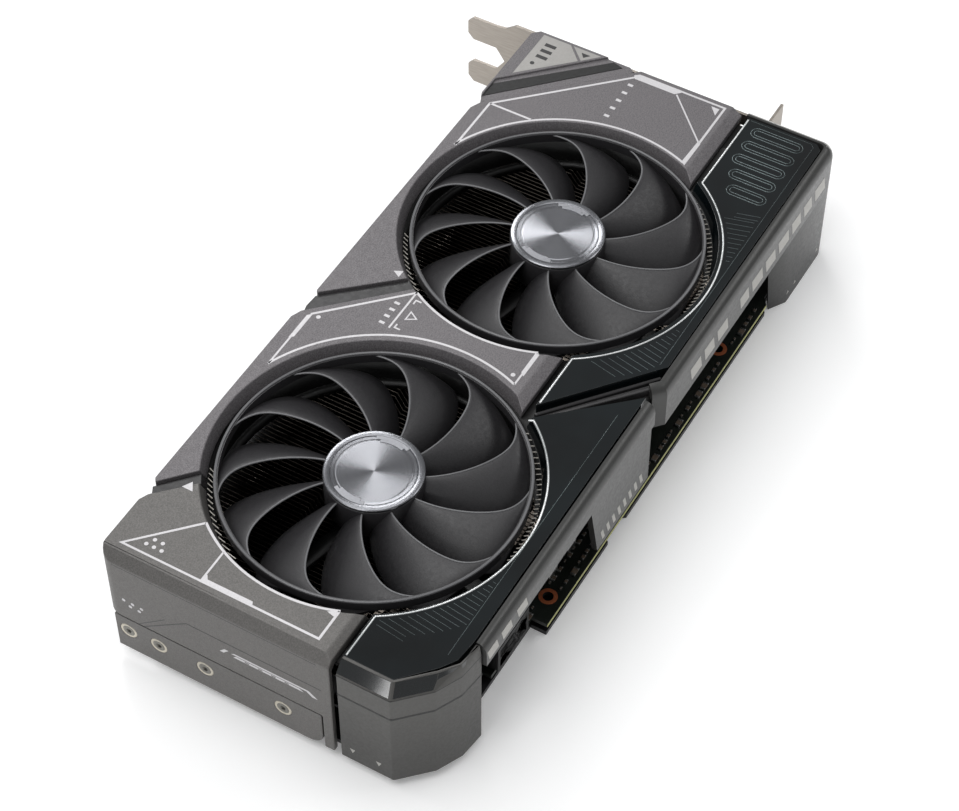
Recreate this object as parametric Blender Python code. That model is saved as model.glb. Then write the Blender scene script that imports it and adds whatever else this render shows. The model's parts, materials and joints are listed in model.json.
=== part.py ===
"""Graphics card with two axial fans, lying on its back plate with the fans facing up.

The model is laid out in card coordinates, in millimetres: the origin is the centre of the fan
nearer the slot bracket, at the level of the shroud face. +X runs from the bracket to the far
end, +Y from the bus connector to the side with the power socket, and +Z out of the fan face.
A parent empty moves the card so that the world origin is at the bottom centre of its box.
"""

from math import cos, pi, radians, sin

import bmesh
import bpy
from mathutils import Matrix, Vector

MM = 0.001

# Overall faces
X_END = 179.2  # outside of the end face
X_BRACKET = -90.0  # outside of the slot bracket
BRACKET_SHEET = 1.0
X_FLANGE_TIP = -100.6  # free edge of the bracket's screw flange
Y_SIDE = 61.2  # outside of the side rails
Y_PCIE = -55.0  # shroud edge on the bus side
Y_PRONG_TIP = -85.6  # lowest point of the bracket prongs
Y_FLANGE = 33.5  # outside of the bracket's flange
Y_FINGERS = -72.7  # edge of the bus connector tab
Z_BACK = -50.0  # back plate's outside
GAP = 0.35  # clearance left between pieces that touch
OVERRUN = 0.02  # how far a cutter runs past a face so that the cut is clean

# Fans
FAN_X = (0.0, 113.6)
BLADES = 11
HUB_RADIUS = 15.6
RING_RADIUS = 48.2
RING_WALL = 1.3
BORE_RADIUS = 50.4
MOUTH_RADIUS = 52.3

# Shroud levels
Z_PANEL = -4.6  # underside of the face panels
Z_FRAME = -7.4  # underside of the inner frame
Z_DUCT = -16.0  # lower edge of the fan ducts

# Board stack
Z_BOARD = -44.2  # component side of the board
BOARD = 1.6
BACKPLATE = 1.8
Z_FIN_TOP = -19.2
Z_FIN_BASE = -35.4
PLATE_TOP = -39.6  # top of the cold plate

ROOT_AT = (
    -(X_FLANGE_TIP + X_END) / 2,
    -(Y_PRONG_TIP + Y_SIDE) / 2,
    -Z_BACK,
)

COLOURS = {  # name: (colour, roughness, metallic)
    "gunmetal": ((0.115, 0.108, 0.112), 0.55, 0.35),
    "smoked_gloss": ((0.012, 0.019, 0.021), 0.08, 0.0),
    "rail_grey": ((0.19, 0.185, 0.175), 0.5, 0.3),
    "black_plastic": ((0.012, 0.012, 0.012), 0.55, 0.0),
    "fan_grey": ((0.042, 0.042, 0.044), 0.5, 0.0),
    "spun_aluminium": ((0.62, 0.62, 0.63), 0.28, 1.0),
    "fin_aluminium": ((0.08, 0.08, 0.08), 0.4, 0.9),
    "copper": ((0.55, 0.27, 0.15), 0.3, 1.0),
    "board": ((0.01, 0.012, 0.011), 0.45, 0.0),
    "nickel": ((0.42, 0.38, 0.34), 0.38, 0.9),
    "steel": ((0.5, 0.5, 0.5), 0.3, 1.0),
    "chip": ((0.02, 0.02, 0.02), 0.35, 0.0),
}


def clear_scene():
    for obj in list(bpy.data.objects):
        bpy.data.objects.remove(obj, do_unlink=True)


clear_scene()
parts = bpy.data.collections.new("graphics_card")
cutters = bpy.data.collections.new("cutters")
bpy.context.scene.collection.children.link(parts)
bpy.context.scene.collection.children.link(cutters)
root = bpy.data.objects.new("card_origin", None)
root.location = Vector(ROOT_AT) * MM
parts.objects.link(root)


def material(name):
    if name in bpy.data.materials:
        return bpy.data.materials[name]
    colour, roughness, metallic = COLOURS[name]
    made = bpy.data.materials.new(name)
    made.use_nodes = True
    shader = made.node_tree.nodes["Principled BSDF"]
    shader.inputs["Base Color"].default_value = (*colour, 1.0)
    shader.inputs["Roughness"].default_value = roughness
    shader.inputs["Metallic"].default_value = metallic
    return made


def place(name, mesh, finish=None, at=(0, 0, 0), turn=0.0, smooth=False):
    """Links a mesh made in millimetres about its own origin, as a part or as a cutter."""
    mesh.transform(Matrix.Scale(MM, 4))
    obj = bpy.data.objects.new(name, mesh)
    obj.location = Vector(at) * MM
    obj.rotation_euler.z = turn
    obj.parent = root
    if finish:
        mesh.materials.append(material(finish))
        parts.objects.link(obj)
    else:
        obj.hide_render = True
        obj.display_type = "WIRE"
        cutters.objects.link(obj)
    if smooth:
        mesh.shade_smooth()
        mesh.set_sharp_from_angle(angle=radians(30))
    return obj


def finished(bm, name):
    bmesh.ops.recalc_face_normals(bm, faces=bm.faces)
    mesh = bpy.data.meshes.new(name)
    bm.to_mesh(mesh)
    bm.free()
    return mesh


def box_mesh(name, low, high):
    low, high = Vector(low), Vector(high)
    bm = bmesh.new()
    size = high - low
    matrix = Matrix.Translation((low + high) / 2) @ Matrix.Diagonal((*size, 1))
    bmesh.ops.create_cube(bm, size=1.0, matrix=matrix)
    return finished(bm, name)


def rod_mesh(name, radius, low, high, sides=48, top_radius=None, centre=(0, 0)):
    """A cylinder or cone along Z."""
    bm = bmesh.new()
    bmesh.ops.create_cone(
        bm,
        cap_ends=True,
        segments=sides,
        radius1=radius,
        radius2=radius if top_radius is None else top_radius,
        depth=high - low,
        matrix=Matrix.Translation((centre[0], centre[1], (low + high) / 2)),
    )
    return finished(bm, name)


# How a flat outline and its depth are turned for the axis that it is extruded along
TURNED = {
    "Y": Matrix(((1, 0, 0), (0, 0, 1), (0, 1, 0))).to_4x4(),  # outline in X and Z
    "X": Matrix(((0, 0, 1), (1, 0, 0), (0, 1, 0))).to_4x4(),  # outline in Y and Z
}


def slab_mesh(name, outline, low, high, axis="Z"):
    """A flat outline as a filled 2-D curve, extruded along an axis between two levels."""
    curve = bpy.data.curves.new(name, "CURVE")
    curve.dimensions = "2D"
    curve.fill_mode = "BOTH"
    curve.extrude = (high - low) / 2
    spline = curve.splines.new("POLY")
    spline.points.add(len(outline) - 1)
    for point, (u, v) in zip(spline.points, outline):
        point.co = (u, v, 0, 1)
    spline.use_cyclic_u = True
    obj = bpy.data.objects.new(name, curve)
    graph = bpy.context.evaluated_depsgraph_get()
    bpy.context.scene.collection.objects.link(obj)
    graph.update()
    mesh = bpy.data.meshes.new_from_object(obj.evaluated_get(graph))
    bpy.data.objects.remove(obj, do_unlink=True)
    bm = bmesh.new()
    bm.from_mesh(mesh)
    bmesh.ops.remove_doubles(bm, verts=bm.verts, dist=0.001)
    bmesh.ops.translate(bm, verts=bm.verts, vec=(0, 0, (low + high) / 2))
    if axis in TURNED:
        bmesh.ops.transform(bm, verts=bm.verts, matrix=TURNED[axis])
    return finished(bm, name)


def loft_mesh(name, sections):
    """Joins outlines of the same number of points, each at its own level, lowest first."""
    bm = bmesh.new()
    rings = [[bm.verts.new((x, y, z)) for x, y in outline] for z, outline in sections]
    count = len(rings[0])
    for lower, upper in zip(rings, rings[1:]):
        for i in range(count):
            j = (i + 1) % count
            bm.faces.new((lower[i], lower[j], upper[j], upper[i]))
    bm.faces.new(rings[0])
    bm.faces.new(rings[-1])
    return finished(bm, name)


def turned_mesh(name, profile, sides=48):
    """A closed profile of (radius, z) turned about Z, as a ring that doesn't reach the axis."""
    bm = bmesh.new()
    rings = []
    for step in range(sides):
        angle = 2 * pi * step / sides
        rings.append([bm.verts.new((r * cos(angle), r * sin(angle), z)) for r, z in profile])
    for step in range(sides):
        here, there = rings[step], rings[(step + 1) % sides]
        for i in range(len(profile)):
            j = (i + 1) % len(profile)
            bm.faces.new((here[i], there[i], there[j], here[j]))
    return finished(bm, name)


def boolean(obj, other, operation):
    modifier = obj.modifiers.new(operation.lower(), "BOOLEAN")
    modifier.object = other
    modifier.operation = operation


def cut(obj, mesh, at=(0, 0, 0), turn=0.0):
    boolean(obj, place(mesh.name + "_cutter", mesh, at=at, turn=turn), "DIFFERENCE")


def join(obj, mesh, at=(0, 0, 0), turn=0.0):
    boolean(obj, place(mesh.name + "_added", mesh, at=at, turn=turn), "UNION")


def keep(obj, mesh):
    boolean(obj, place(mesh.name + "_kept", mesh), "INTERSECT")


def arc(centre, radius, start, end, steps):
    """Points on an arc, with angles in degrees."""
    return [
        (
            centre[0] + radius * cos(radians(start + (end - start) * i / steps)),
            centre[1] + radius * sin(radians(start + (end - start) * i / steps)),
        )
        for i in range(steps + 1)
    ]


# ---------------------------------------------------------------- shroud
def mouth_cutter(number, x):
    """The flared opening over a fan."""
    mesh = rod_mesh(f"mouth_{number}", BORE_RADIUS, Z_PANEL, 0, 96, MOUTH_RADIUS, (x, 0))
    for vertex in mesh.vertices:
        vertex.co.z += OVERRUN if vertex.co.z > Z_PANEL / 2 else -OVERRUN
    return place(mesh.name, mesh)


mouths = [mouth_cutter(number, x) for number, x in enumerate(FAN_X, 1)]


def face_panel(name, outline, finish, top=0.0, low=Z_PANEL, fans=(0, 1)):
    panel = place(name, slab_mesh(name, outline, low, top), finish)
    for fan in fans:
        boolean(panel, mouths[fan], "DIFFERENCE")
    return panel


Y_SPLIT = 26.2  # upper edge of the grey panels
SPLIT_SLOPE = slab_mesh("split_slope", [(22.4, 0.2), (27.5, 0.2), (27.5, -3.4)], -90, 185, "X")


def slope_split_edge(panel):
    """The grey panels fall away towards the groove below the glossy panels."""
    cut(panel, SPLIT_SLOPE.copy())


panel_bracket = face_panel(
    "panel_bracket",
    [
        (-81.8, Y_SPLIT),
        (-38.0, Y_SPLIT),
        (-30.0, 0.0),
        (20.0, -20.0),
        (36.0, -26.2),
        (60.9, -53.6),
        (60.1, -54.4),
        (-37.0, -54.4),
        (-41.0, -52.6),
        (-80.0, -14.4),
        (-81.8, -12.6),
    ],
    "gunmetal",
    fans=(0,),
)
slope_split_edge(panel_bracket)

corner_block = face_panel(
    "corner_block",
    [
        (-82.5, -17.0),
        (-81.3, -15.4),
        (-80.1, -15.1),
        (-41.3, -53.1),
        (-45.5, -54.8),
        (-80.0, -54.8),
        (-82.5, -52.3),
    ],
    "gunmetal",
    fans=(),
)
cut(
    corner_block,
    slab_mesh(
        "corner_band",
        [(-84.0, -24.0), (-84.0, -13.0), (-78.0, -13.0), (-36.0, -54.0), (-53.5, -54.0)],
        -0.9,
        1.0,
    ),
)

trim_middle = place(
    "trim_middle",
    slab_mesh(
        "trim_middle",
        [(42.9, -27.4), (69.0, -53.6), (66.5, -54.2), (61.6, -53.9), (38.6, -28.6)],
        Z_PANEL,
        -1.2,
    ),
    "black_plastic",
)
boolean(trim_middle, mouths[0], "DIFFERENCE")

panel_middle = face_panel(
    "panel_middle",
    [
        (40.0, Y_SPLIT),
        (75.0, Y_SPLIT),
        (90.0, 0.0),
        (113.0, -30.0),
        (137.8, -43.6),
        (149.8, -54.4),
        (148.4, -55.4),
        (73.6, -55.4),
        (69.9, -53.9),
        (43.4, -27.2),
        (36.0, -20.0),
    ],
    "gunmetal",
)
slope_split_edge(panel_middle)

trim_end = place(
    "trim_end",
    slab_mesh(
        "trim_end",
        [(141.2, -41.0), (153.6, -53.2), (151.0, -54.6), (138.2, -43.2), (138.2, -38.0)],
        Z_PANEL,
        -1.2,
    ),
    "black_plastic",
)
boolean(trim_end, mouths[1], "DIFFERENCE")

# The end panel folds over into the end wall; its section is in X and Z.
WALL = 2.0
END_CHAMFER = 3.2
END_CORNER = 4.5  # radius of the end panel's corner on the bus side
FOLD_EASE = 1.4  # inside bevel where the panel folds into the wall
Y_PLATE = (Y_PCIE + 2.5, 21.1)  # ends of the screwed plate
PLATE_CORNER = 5.0
Z_PLATE_TOP = -29.9
Z_END = -46.2
panel_end = place(
    "panel_end",
    slab_mesh(
        "panel_end",
        [
            (140.0, 0.0),
            (X_END - END_CHAMFER, 0.0),
            (X_END, -END_CHAMFER),
            (X_END, Z_END),
            (X_END - WALL, Z_END),
            (X_END - WALL, Z_PANEL - FOLD_EASE),
            (X_END - WALL - FOLD_EASE, Z_PANEL),
            (140.0, Z_PANEL),
        ],
        Y_PCIE,
        25.0,
        "Y",
    ),
    "gunmetal",
)
keep(
    panel_end,
    slab_mesh(
        "end_outline",
        [(150.0, 25.5), (X_END + 1, 25.5)]
        + arc((X_END - END_CORNER, Y_PCIE + END_CORNER), END_CORNER, 0, -90, 6)
        + [(157.6, Y_PCIE), (154.6, -53.6), (141.8, -41.2), (150.0, -10.0)],
        -60,
        10,
    ),
)
boolean(panel_end, mouths[1], "DIFFERENCE")
slope_split_edge(panel_end)
cut(
    panel_end,
    box_mesh("end_plate_seat", (X_END - 6, Y_PCIE - 1, -60), (X_END + 1, Y_PLATE[1] + 0.4, Z_PLATE_TOP)),
)

end_plate = place(
    "end_plate",
    slab_mesh(
        "end_plate",
        [(Y_PLATE[0], Z_PLATE_TOP - GAP), (Y_PLATE[1], Z_PLATE_TOP - GAP)]
        + arc((Y_PLATE[1] - PLATE_CORNER, Z_END + PLATE_CORNER), PLATE_CORNER, 0, -90, 6)
        + [(Y_PLATE[0], Z_END)],
        X_END - WALL,
        X_END,
        "X",
    ),
    "gunmetal",
)
SCREW_Y = (-48.0, -37.0, -20.3, 7.4)
SCREW_Z = -36.6


def sideways(mesh):
    """Turns a mesh made along Z so that it lies along X."""
    mesh.transform(Matrix.Rotation(pi / 2, 4, "Y"))
    return mesh


def end_screw(number, y):
    """A flat-headed screw in a countersunk seat of the end plate."""
    seat = (X_END - 0.9, y, SCREW_Z)
    head = (X_END - 1.0, y, SCREW_Z)
    name = f"end_screw_{number}"
    cut(end_plate, sideways(rod_mesh(f"end_screw_hole_{number}", 3.0, -0.5, 3.0, 16)), at=seat)
    cut(
        end_plate,
        sideways(rod_mesh(f"end_screw_bore_{number}", 1.45, -4, 4, 12)),
        at=(X_END, y, SCREW_Z),
    )
    screw = place(name, sideways(rod_mesh(name, 2.5, 0.0, 0.9, 16)), "steel", at=head, smooth=True)
    join(screw, sideways(rod_mesh(f"end_screw_shank_{number}", 1.1, -5.0, 0.1, 8)), at=head)
    cut(screw, sideways(rod_mesh(f"end_screw_drive_{number}", 1.0, 0.35, 2.0, 6)), at=head)


for number, y in enumerate(SCREW_Y, 1):
    end_screw(number, y)

# Glossy panels
X_SPLIT_A = (32.6, 66.6)  # right edge of the bracket-side panel, at its top and bottom
X_SPLIT_B = (47.0, 72.4)  # left edge of the end-side panel
gloss_bracket = face_panel(
    "gloss_panel_bracket",
    [
        (-80.0, 29.6),
        (-80.0, 55.0),
        (-77.8, 57.2),
        (X_SPLIT_A[0], 57.2),
        (X_SPLIT_A[1], 29.2),
        (40.0, 29.2),
        (20.0, 20.0),
        (-30.0, 20.0),
        (-46.0, 29.6),
    ],
    "smoked_gloss",
    top=-0.4,
    fans=(0,),
)
gloss_end = face_panel(
    "gloss_panel_end",
    [
        (X_SPLIT_B[0], 57.0),
        (151.8, 57.0),
        (159.6, 56.2),
        (164.6, 53.0),
        (174.6, 43.8),
        (174.6, 27.2),
        (157.5, 27.2),
        (140.0, 15.0),
        (90.0, 15.0),
        (X_SPLIT_B[1], 29.6),
    ],
    "smoked_gloss",
    top=-0.4,
    fans=(1,),
)

# Side rails
RAIL_ROUND = 2.4
RAIL_CORNER = 5.2  # radius of the rail's corner by the bracket, in plan
Z_RAIL_A = -17.6
Z_RAIL_B = -9.6
RAIL_SKIN = 2.0
side_rail_bracket = place(
    "side_rail_bracket",
    loft_mesh(
        "side_rail_bracket",
        [
            (
                level,
                [(-83.8 + inset, 28.6)]
                + arc((-78.6, Y_SIDE - RAIL_CORNER), RAIL_CORNER - inset, 180, 90, 6)
                + [
                    (40.5, Y_SIDE - inset),
                    (44.4, Y_SIDE - 3.4),
                    (44.4, 57.6),
                    (-78.2, 57.6),
                    (-80.4, 55.4),
                    (-80.4, 28.6),
                ],
            )
            for level, inset in ((Z_RAIL_A, 0.0), (-RAIL_ROUND, 0.0), (-0.6, 0.7), (0.0, 2.2))
        ],
    ),
    "rail_grey",
)
join(
    side_rail_bracket,
    loft_mesh(
        "rail_leg_bracket",
        [
            (
                level,
                arc((-78.6, Y_SIDE - RAIL_CORNER), RAIL_CORNER, 155, 90, 5)
                + [
                    (inner - 3.0, Y_SIDE),
                    (inner + 3.2, 57.4),
                    (inner + 2.0, 56.4),
                    (inner - 3.4, Y_SIDE - RAIL_SKIN),
                    (-78.6, Y_SIDE - RAIL_SKIN),
                    (-81.2, 56.9),
                ],
            )
            for level, inner in ((Z_BACK, -50.2), (Z_RAIL_A + 1.0, -44.4))
        ],
    ),
)

side_rail_end = place(
    "side_rail_end",
    loft_mesh(
        "side_rail_end",
        [
            (
                level,
                [
                    (50.2, Y_SIDE - inset),
                    (152.0, Y_SIDE - inset),
                    (152.0, 57.4),
                    (47.2, 57.4),
                    (47.2, 58.4),
                ],
            )
            for level, inset in ((Z_RAIL_B, 0.0), (-RAIL_ROUND, 0.0), (-0.6, 0.7), (0.0, 2.2))
        ],
    ),
    "rail_grey",
)
join(
    side_rail_end,
    slab_mesh(
        "rail_leg_middle",
        [(50.4, Z_RAIL_B + 1), (89.2, Z_RAIL_B + 1), (83.8, -33.4), (50.4, -33.4)],
        Y_SIDE - RAIL_SKIN,
        Y_SIDE,
        "Y",
    ),
)

# Corner block at the far end, on the power side
CORNER_OUT = [
    (X_END, 27.3),
    (X_END, 45.4),
    (170.0, 54.6),
    (161.6, 58.7),
    (152.4, 59.9),
]
CORNER_TOP = [
    (175.3, 27.3),
    (175.3, 44.2),
    (166.0, 53.6),
    (160.6, 57.8),
    (152.4, 59.4),
]
CORNER_TOP_IN = [(152.4, 58.0), (160.2, 57.5), (165.4, 53.2), (175.1, 44.1), (175.1, 27.3)]
CORNER_IN = [(152.4, 57.6), (160.4, 56.6), (168.4, 52.9), (176.9, 44.5), (176.9, 27.3)]
end_corner_block = place(
    "end_corner_block",
    loft_mesh(
        "end_corner_block",
        [
            (Z_END, CORNER_OUT + CORNER_IN),
            (-4.2, CORNER_OUT + CORNER_IN),
            (-0.1, CORNER_TOP + CORNER_TOP_IN),
        ],
    ),
    "rail_grey",
)

# Inner frame that carries the panels and the two fan ducts
Z_SKIRT = -14.0
DUCT_WALL = 1.8
frame = place(
    "shroud_frame",
    slab_mesh(
        "shroud_frame",
        [
            (-79.6, -53.4),
            (-79.6, 55.2),
            (-77.6, 57.0),
            (151.8, 57.0),
            (158.0, 56.0),
            (166.0, 52.4),
            (174.4, 44.2),
            (174.4, -52.0),
            (172.6, -53.4),
        ],
        Z_FRAME,
        Z_PANEL - GAP,
    ),
    "black_plastic",
)
for fan, x in enumerate(FAN_X, 1):
    join(frame, rod_mesh(f"duct_{fan}", BORE_RADIUS + DUCT_WALL, Z_DUCT, Z_FRAME + 1, 64), at=(x, 0, 0))
join(frame, box_mesh("skirt_pcie", (-78.0, -53.4, Z_SKIRT), (172.0, -52.0, Z_FRAME + 1)))
join(frame, box_mesh("skirt_bracket", (-79.6, -53.4, Z_SKIRT), (-78.2, 56.0, Z_FRAME + 1)))
for fan, x in enumerate(FAN_X, 1):
    cut(frame, rod_mesh(f"bore_{fan}", BORE_RADIUS, Z_DUCT - 1, 1, 64), at=(x, 0, 0))

# ---------------------------------------------------------------- fans
Z_HUB = -0.7
Z_CARRIER = (-18.6, -16.4)
BLADE_SWEEP = radians(32)
BLADE_CHORD = radians(25.5)
BLADE_DROP = 9.6
BLADE_THICK = 0.9
Z_BLADE = -1.3  # top edge of the blades
FIRST_BLADE = radians(116)
Z_HUB_INSIDE = -2.4  # underside of the hub's top
Z_HUB_LOW = -12.4
HUB_WALL = 1.3
SHAFT_HOLE = 1.9


def blade_mesh(name):
    """One swept blade: a sheet that falls away behind its top edge, closed into a solid."""
    across, along = 6, 4
    inner, outer = HUB_RADIUS - 0.9, RING_RADIUS - RING_WALL + 0.5
    bm = bmesh.new()
    skins = []
    for offset in (0.0, -BLADE_THICK):
        rows = []
        for i in range(across):
            radius = inner + (outer - inner) * i / (across - 1)
            outwards = max(0.0, (radius - HUB_RADIUS) / (RING_RADIUS - HUB_RADIUS))
            lead = BLADE_SWEEP * outwards**1.5
            row = []
            for j in range(along):
                s = j / (along - 1)
                angle = lead - BLADE_CHORD * s
                z = Z_BLADE + offset - BLADE_DROP * s**0.85
                row.append(bm.verts.new((radius * cos(angle), radius * sin(angle), z)))
            rows.append(row)
        skins.append(rows)
    top, under = skins
    for i in range(across - 1):
        for j in range(along - 1):
            bm.faces.new((top[i][j], top[i + 1][j], top[i + 1][j + 1], top[i][j + 1]))
            bm.faces.new((under[i][j + 1], under[i + 1][j + 1], under[i + 1][j], under[i][j]))
    border = [(i, 0) for i in range(across)]
    border += [(across - 1, j) for j in range(1, along)]
    border += [(i, along - 1) for i in range(across - 2, -1, -1)]
    border += [(0, j) for j in range(along - 2, 0, -1)]
    for (i, j), (k, m) in zip(border, border[1:] + border[:1]):
        bm.faces.new((top[k][m], top[i][j], under[i][j], under[k][m]))
    return finished(bm, name)


def strut_mesh(name):
    """A spoke from the motor's seat to the carrier's outer ring."""
    return box_mesh(name, (10.0, -2.4, Z_CARRIER[0]), (49.0, 2.4, Z_CARRIER[1]))


def stator_outline():
    """Nine stator poles around a core."""
    points = []
    poles = 9
    core, neck, shoe = 5.8, 11.2, 11.9
    for pole in range(poles):
        middle = 360 / poles * pole
        points += arc((0, 0), core, middle - 20, middle - 13, 1)
        for radius, offset in ((neck, -6), (shoe, -15), (shoe, 15), (neck, 6)):
            angle = radians(middle + offset)
            points.append((radius * cos(angle), radius * sin(angle)))
        points += arc((0, 0), core, middle + 13, middle + 19, 1)
    return points


def fan(number, x):
    at = (x, 0, 0)
    rotor = place(
        f"fan_rotor_{number}",
        turned_mesh(
            f"fan_hub_{number}",
            [
                (SHAFT_HOLE, Z_HUB),
                (SHAFT_HOLE, Z_HUB_INSIDE),
                (HUB_RADIUS - HUB_WALL, Z_HUB_INSIDE),
                (HUB_RADIUS - HUB_WALL, Z_HUB_LOW),
                (HUB_RADIUS, Z_HUB_LOW),
                (HUB_RADIUS, Z_HUB - 0.6),
                (HUB_RADIUS - 0.6, Z_HUB),
            ],
            36,
        ),
        "fan_grey",
        at=at,
    )
    for index in range(BLADES):
        turn = FIRST_BLADE + 2 * pi * index / BLADES
        join(rotor, blade_mesh(f"blade_{number}_{index + 1}"), at=at, turn=turn)
    ring = turned_mesh(
        f"ring_{number}",
        [
            (RING_RADIUS - RING_WALL, -9.4),
            (RING_RADIUS, -9.4),
            (RING_RADIUS, -1.0),
            (RING_RADIUS - 0.5, -0.4),
            (RING_RADIUS - RING_WALL, -0.8),
        ],
        60,
    )
    join(rotor, ring, at=at)
    place(
        f"fan_cap_{number}",
        turned_mesh(
            f"fan_cap_{number}",
            [
                (0.4, 0.0),
                (0.4, -0.35),
                (15.4, -0.35),
                (15.4, 0.0),
                (14.9, 0.4),
                (13.2, 0.4),
                (12.6, 0.0),
            ],
            36,
        ),
        "spun_aluminium",
        at=at,
    )
    place(
        f"fan_magnet_{number}",
        turned_mesh(f"fan_magnet_{number}", [(12.6, -12.0), (13.9, -12.0), (13.9, -2.8), (12.6, -2.8)], 32),
        "chip",
        at=at,
    )
    place(
        f"fan_shaft_{number}",
        rod_mesh(f"fan_shaft_{number}", 1.5, -17.4, -0.8, 20),
        "steel",
        at=at,
        smooth=True,
    )
    place(
        f"fan_bearing_{number}",
        turned_mesh(f"fan_bearing_{number}", [(1.9, -18.2), (4.0, -18.2), (4.0, -3.0), (1.9, -3.0)], 20),
        "steel",
        at=at,
    )
    stator = place(
        f"fan_stator_{number}",
        slab_mesh(f"fan_stator_{number}", stator_outline(), -13.4, -4.2),
        "copper",
        at=at,
    )
    cut(stator, rod_mesh(f"stator_bore_{number}", 4.35, -20, 0, 18), at=at)
    carrier = place(
        f"fan_carrier_{number}",
        turned_mesh(
            f"fan_carrier_{number}",
            [
                (4.35, Z_CARRIER[0]),
                (13.6, Z_CARRIER[0]),
                (13.6, Z_CARRIER[1]),
                (5.6, Z_CARRIER[1]),
                (5.6, -13.8),
                (4.35, -13.8),
            ],
            28,
        ),
        "black_plastic",
        at=at,
    )
    join(
        carrier,
        turned_mesh(
            f"carrier_ring_{number}",
            [(48.4, Z_CARRIER[0]), (51.0, Z_CARRIER[0]), (51.0, Z_CARRIER[1]), (48.4, Z_CARRIER[1])],
            48,
        ),
        at=at,
    )
    for index, angle in enumerate((163, 75, -15), 1):
        join(carrier, strut_mesh(f"strut_{number}_{index}"), at=at, turn=radians(angle))


for number, x in enumerate(FAN_X, 1):
    fan(number, x)

# ---------------------------------------------------------------- heat sink
FIN_PITCH = 7.0
FIN_THICK = 0.5
FIN_BASE = 1.2
FIN_X = (-74.0, 171.0)
FIN_Y = (-49.6, 48.0)


def comb_outline():
    """Section of the fin stack in X and Z: a base with upright fins."""
    points = [(FIN_X[0], Z_FIN_BASE)]
    count = int((FIN_X[1] - FIN_X[0]) // FIN_PITCH)
    for index in range(count + 1):
        x = FIN_X[0] + index * FIN_PITCH
        points += [(x, Z_FIN_TOP), (x + FIN_THICK, Z_FIN_TOP)]
        if index < count:
            points += [(x + FIN_THICK, Z_FIN_BASE + FIN_BASE), (x + FIN_PITCH, Z_FIN_BASE + FIN_BASE)]
        else:
            points += [(x + FIN_THICK, Z_FIN_BASE)]
    return points


fins = place("fin_stack", slab_mesh("fin_stack", comb_outline(), *FIN_Y, "Y"), "fin_aluminium")
cut(fins, box_mesh("plug_space", (103.7, 33.0, -60), (141.3, 60.0, -10)))

cold_plate = place(
    "cold_plate",
    box_mesh("cold_plate", (18.0, -34.0, -42.0), (66.0, 26.0, PLATE_TOP)),
    "copper",
)
PIPE_RADIUS = 1.8


def smooth_route(points, rounds=3):
    """Rounds the corners of a route by cutting them, keeping both ends."""
    for _ in range(rounds):
        finer = [points[0]]
        for a, b in zip(points, points[1:]):
            finer += [a.lerp(b, 0.25), a.lerp(b, 0.75)]
        points = finer + [points[-1]]
    return points


def heat_pipe(name, route):
    curve = bpy.data.curves.new(name, "CURVE")
    curve.dimensions = "3D"
    curve.bevel_depth = PIPE_RADIUS * MM
    curve.bevel_resolution = 2
    curve.use_fill_caps = True
    points = smooth_route([Vector(point) for point in route], 2)
    spline = curve.splines.new("POLY")
    spline.points.add(len(points) - 1)
    for point, place_at in zip(spline.points, points):
        point.co = (*(place_at * MM), 1)
    obj = bpy.data.objects.new(name, curve)
    obj.parent = root
    curve.materials.append(material("copper"))
    parts.objects.link(obj)


Z_PIPE = PLATE_TOP + PIPE_RADIUS + GAP
PIPE_Y = ((-28.0, -40.0), (-14.0, -24.0), (0.0, 4.0), (14.0, 26.0))  # over the plate, and beyond it
for number, (y_plate, y_far) in enumerate(PIPE_Y, 1):
    heat_pipe(
        f"heat_pipe_{number}",
        [
            (-66.0, y_far, Z_PIPE),
            (-30.0, y_far, Z_PIPE),
            (10.0, y_plate, Z_PIPE),
            (70.0, y_plate, Z_PIPE),
            (96.0, y_far, Z_PIPE),
            (166.0, y_far, Z_PIPE),
        ],
    )

# ---------------------------------------------------------------- board
BOARD_EDGE_Y = 57.9
BOARD_END_X = 109.0
BOARD_BOTTOM_Y = -63.6
TAB_X = (-28.0, 57.0)
board = place(
    "circuit_board",
    slab_mesh(
        "circuit_board",
        [
            (-86.5, 30.0),
            (-78.0, 30.0),
            (-78.0, 56.6),
            (-50.8, 55.6),
            (-46.6, 55.8),
            (-43.8, BOARD_EDGE_Y),
            (BOARD_END_X, BOARD_EDGE_Y),
            (BOARD_END_X, 52.4),
            (134.0, 52.4),
            (134.0, -58.0),
            (128.0, BOARD_BOTTOM_Y + 0.6),
            (TAB_X[1] + 2.0, BOARD_BOTTOM_Y + 0.6),
            (TAB_X[1], Y_FINGERS + 1.5),
            (TAB_X[1] - 1.5, Y_FINGERS),
            (TAB_X[0] + 12.8, Y_FINGERS),
            (TAB_X[0] + 12.8, Y_FINGERS + 7.0),
            (TAB_X[0] + 11.0, Y_FINGERS + 7.0),
            (TAB_X[0] + 11.0, Y_FINGERS),
            (TAB_X[0] + 1.5, Y_FINGERS),
            (TAB_X[0], Y_FINGERS + 1.5),
            (TAB_X[0], BOARD_BOTTOM_Y),
            (-80.0, BOARD_BOTTOM_Y),
            (-86.5, -58.0),
        ],
        Z_BOARD - BOARD,
        Z_BOARD,
    ),
    "board",
)
for index, (x, y) in enumerate(((-17.8, 52.6), (99.6, 52.9), (-73.6, -56.3), (126.2, -51.7)), 1):
    cut(board, rod_mesh(f"board_hole_{index}", 1.7, -3, 3, 16), at=(x, y, Z_BOARD))

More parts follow.
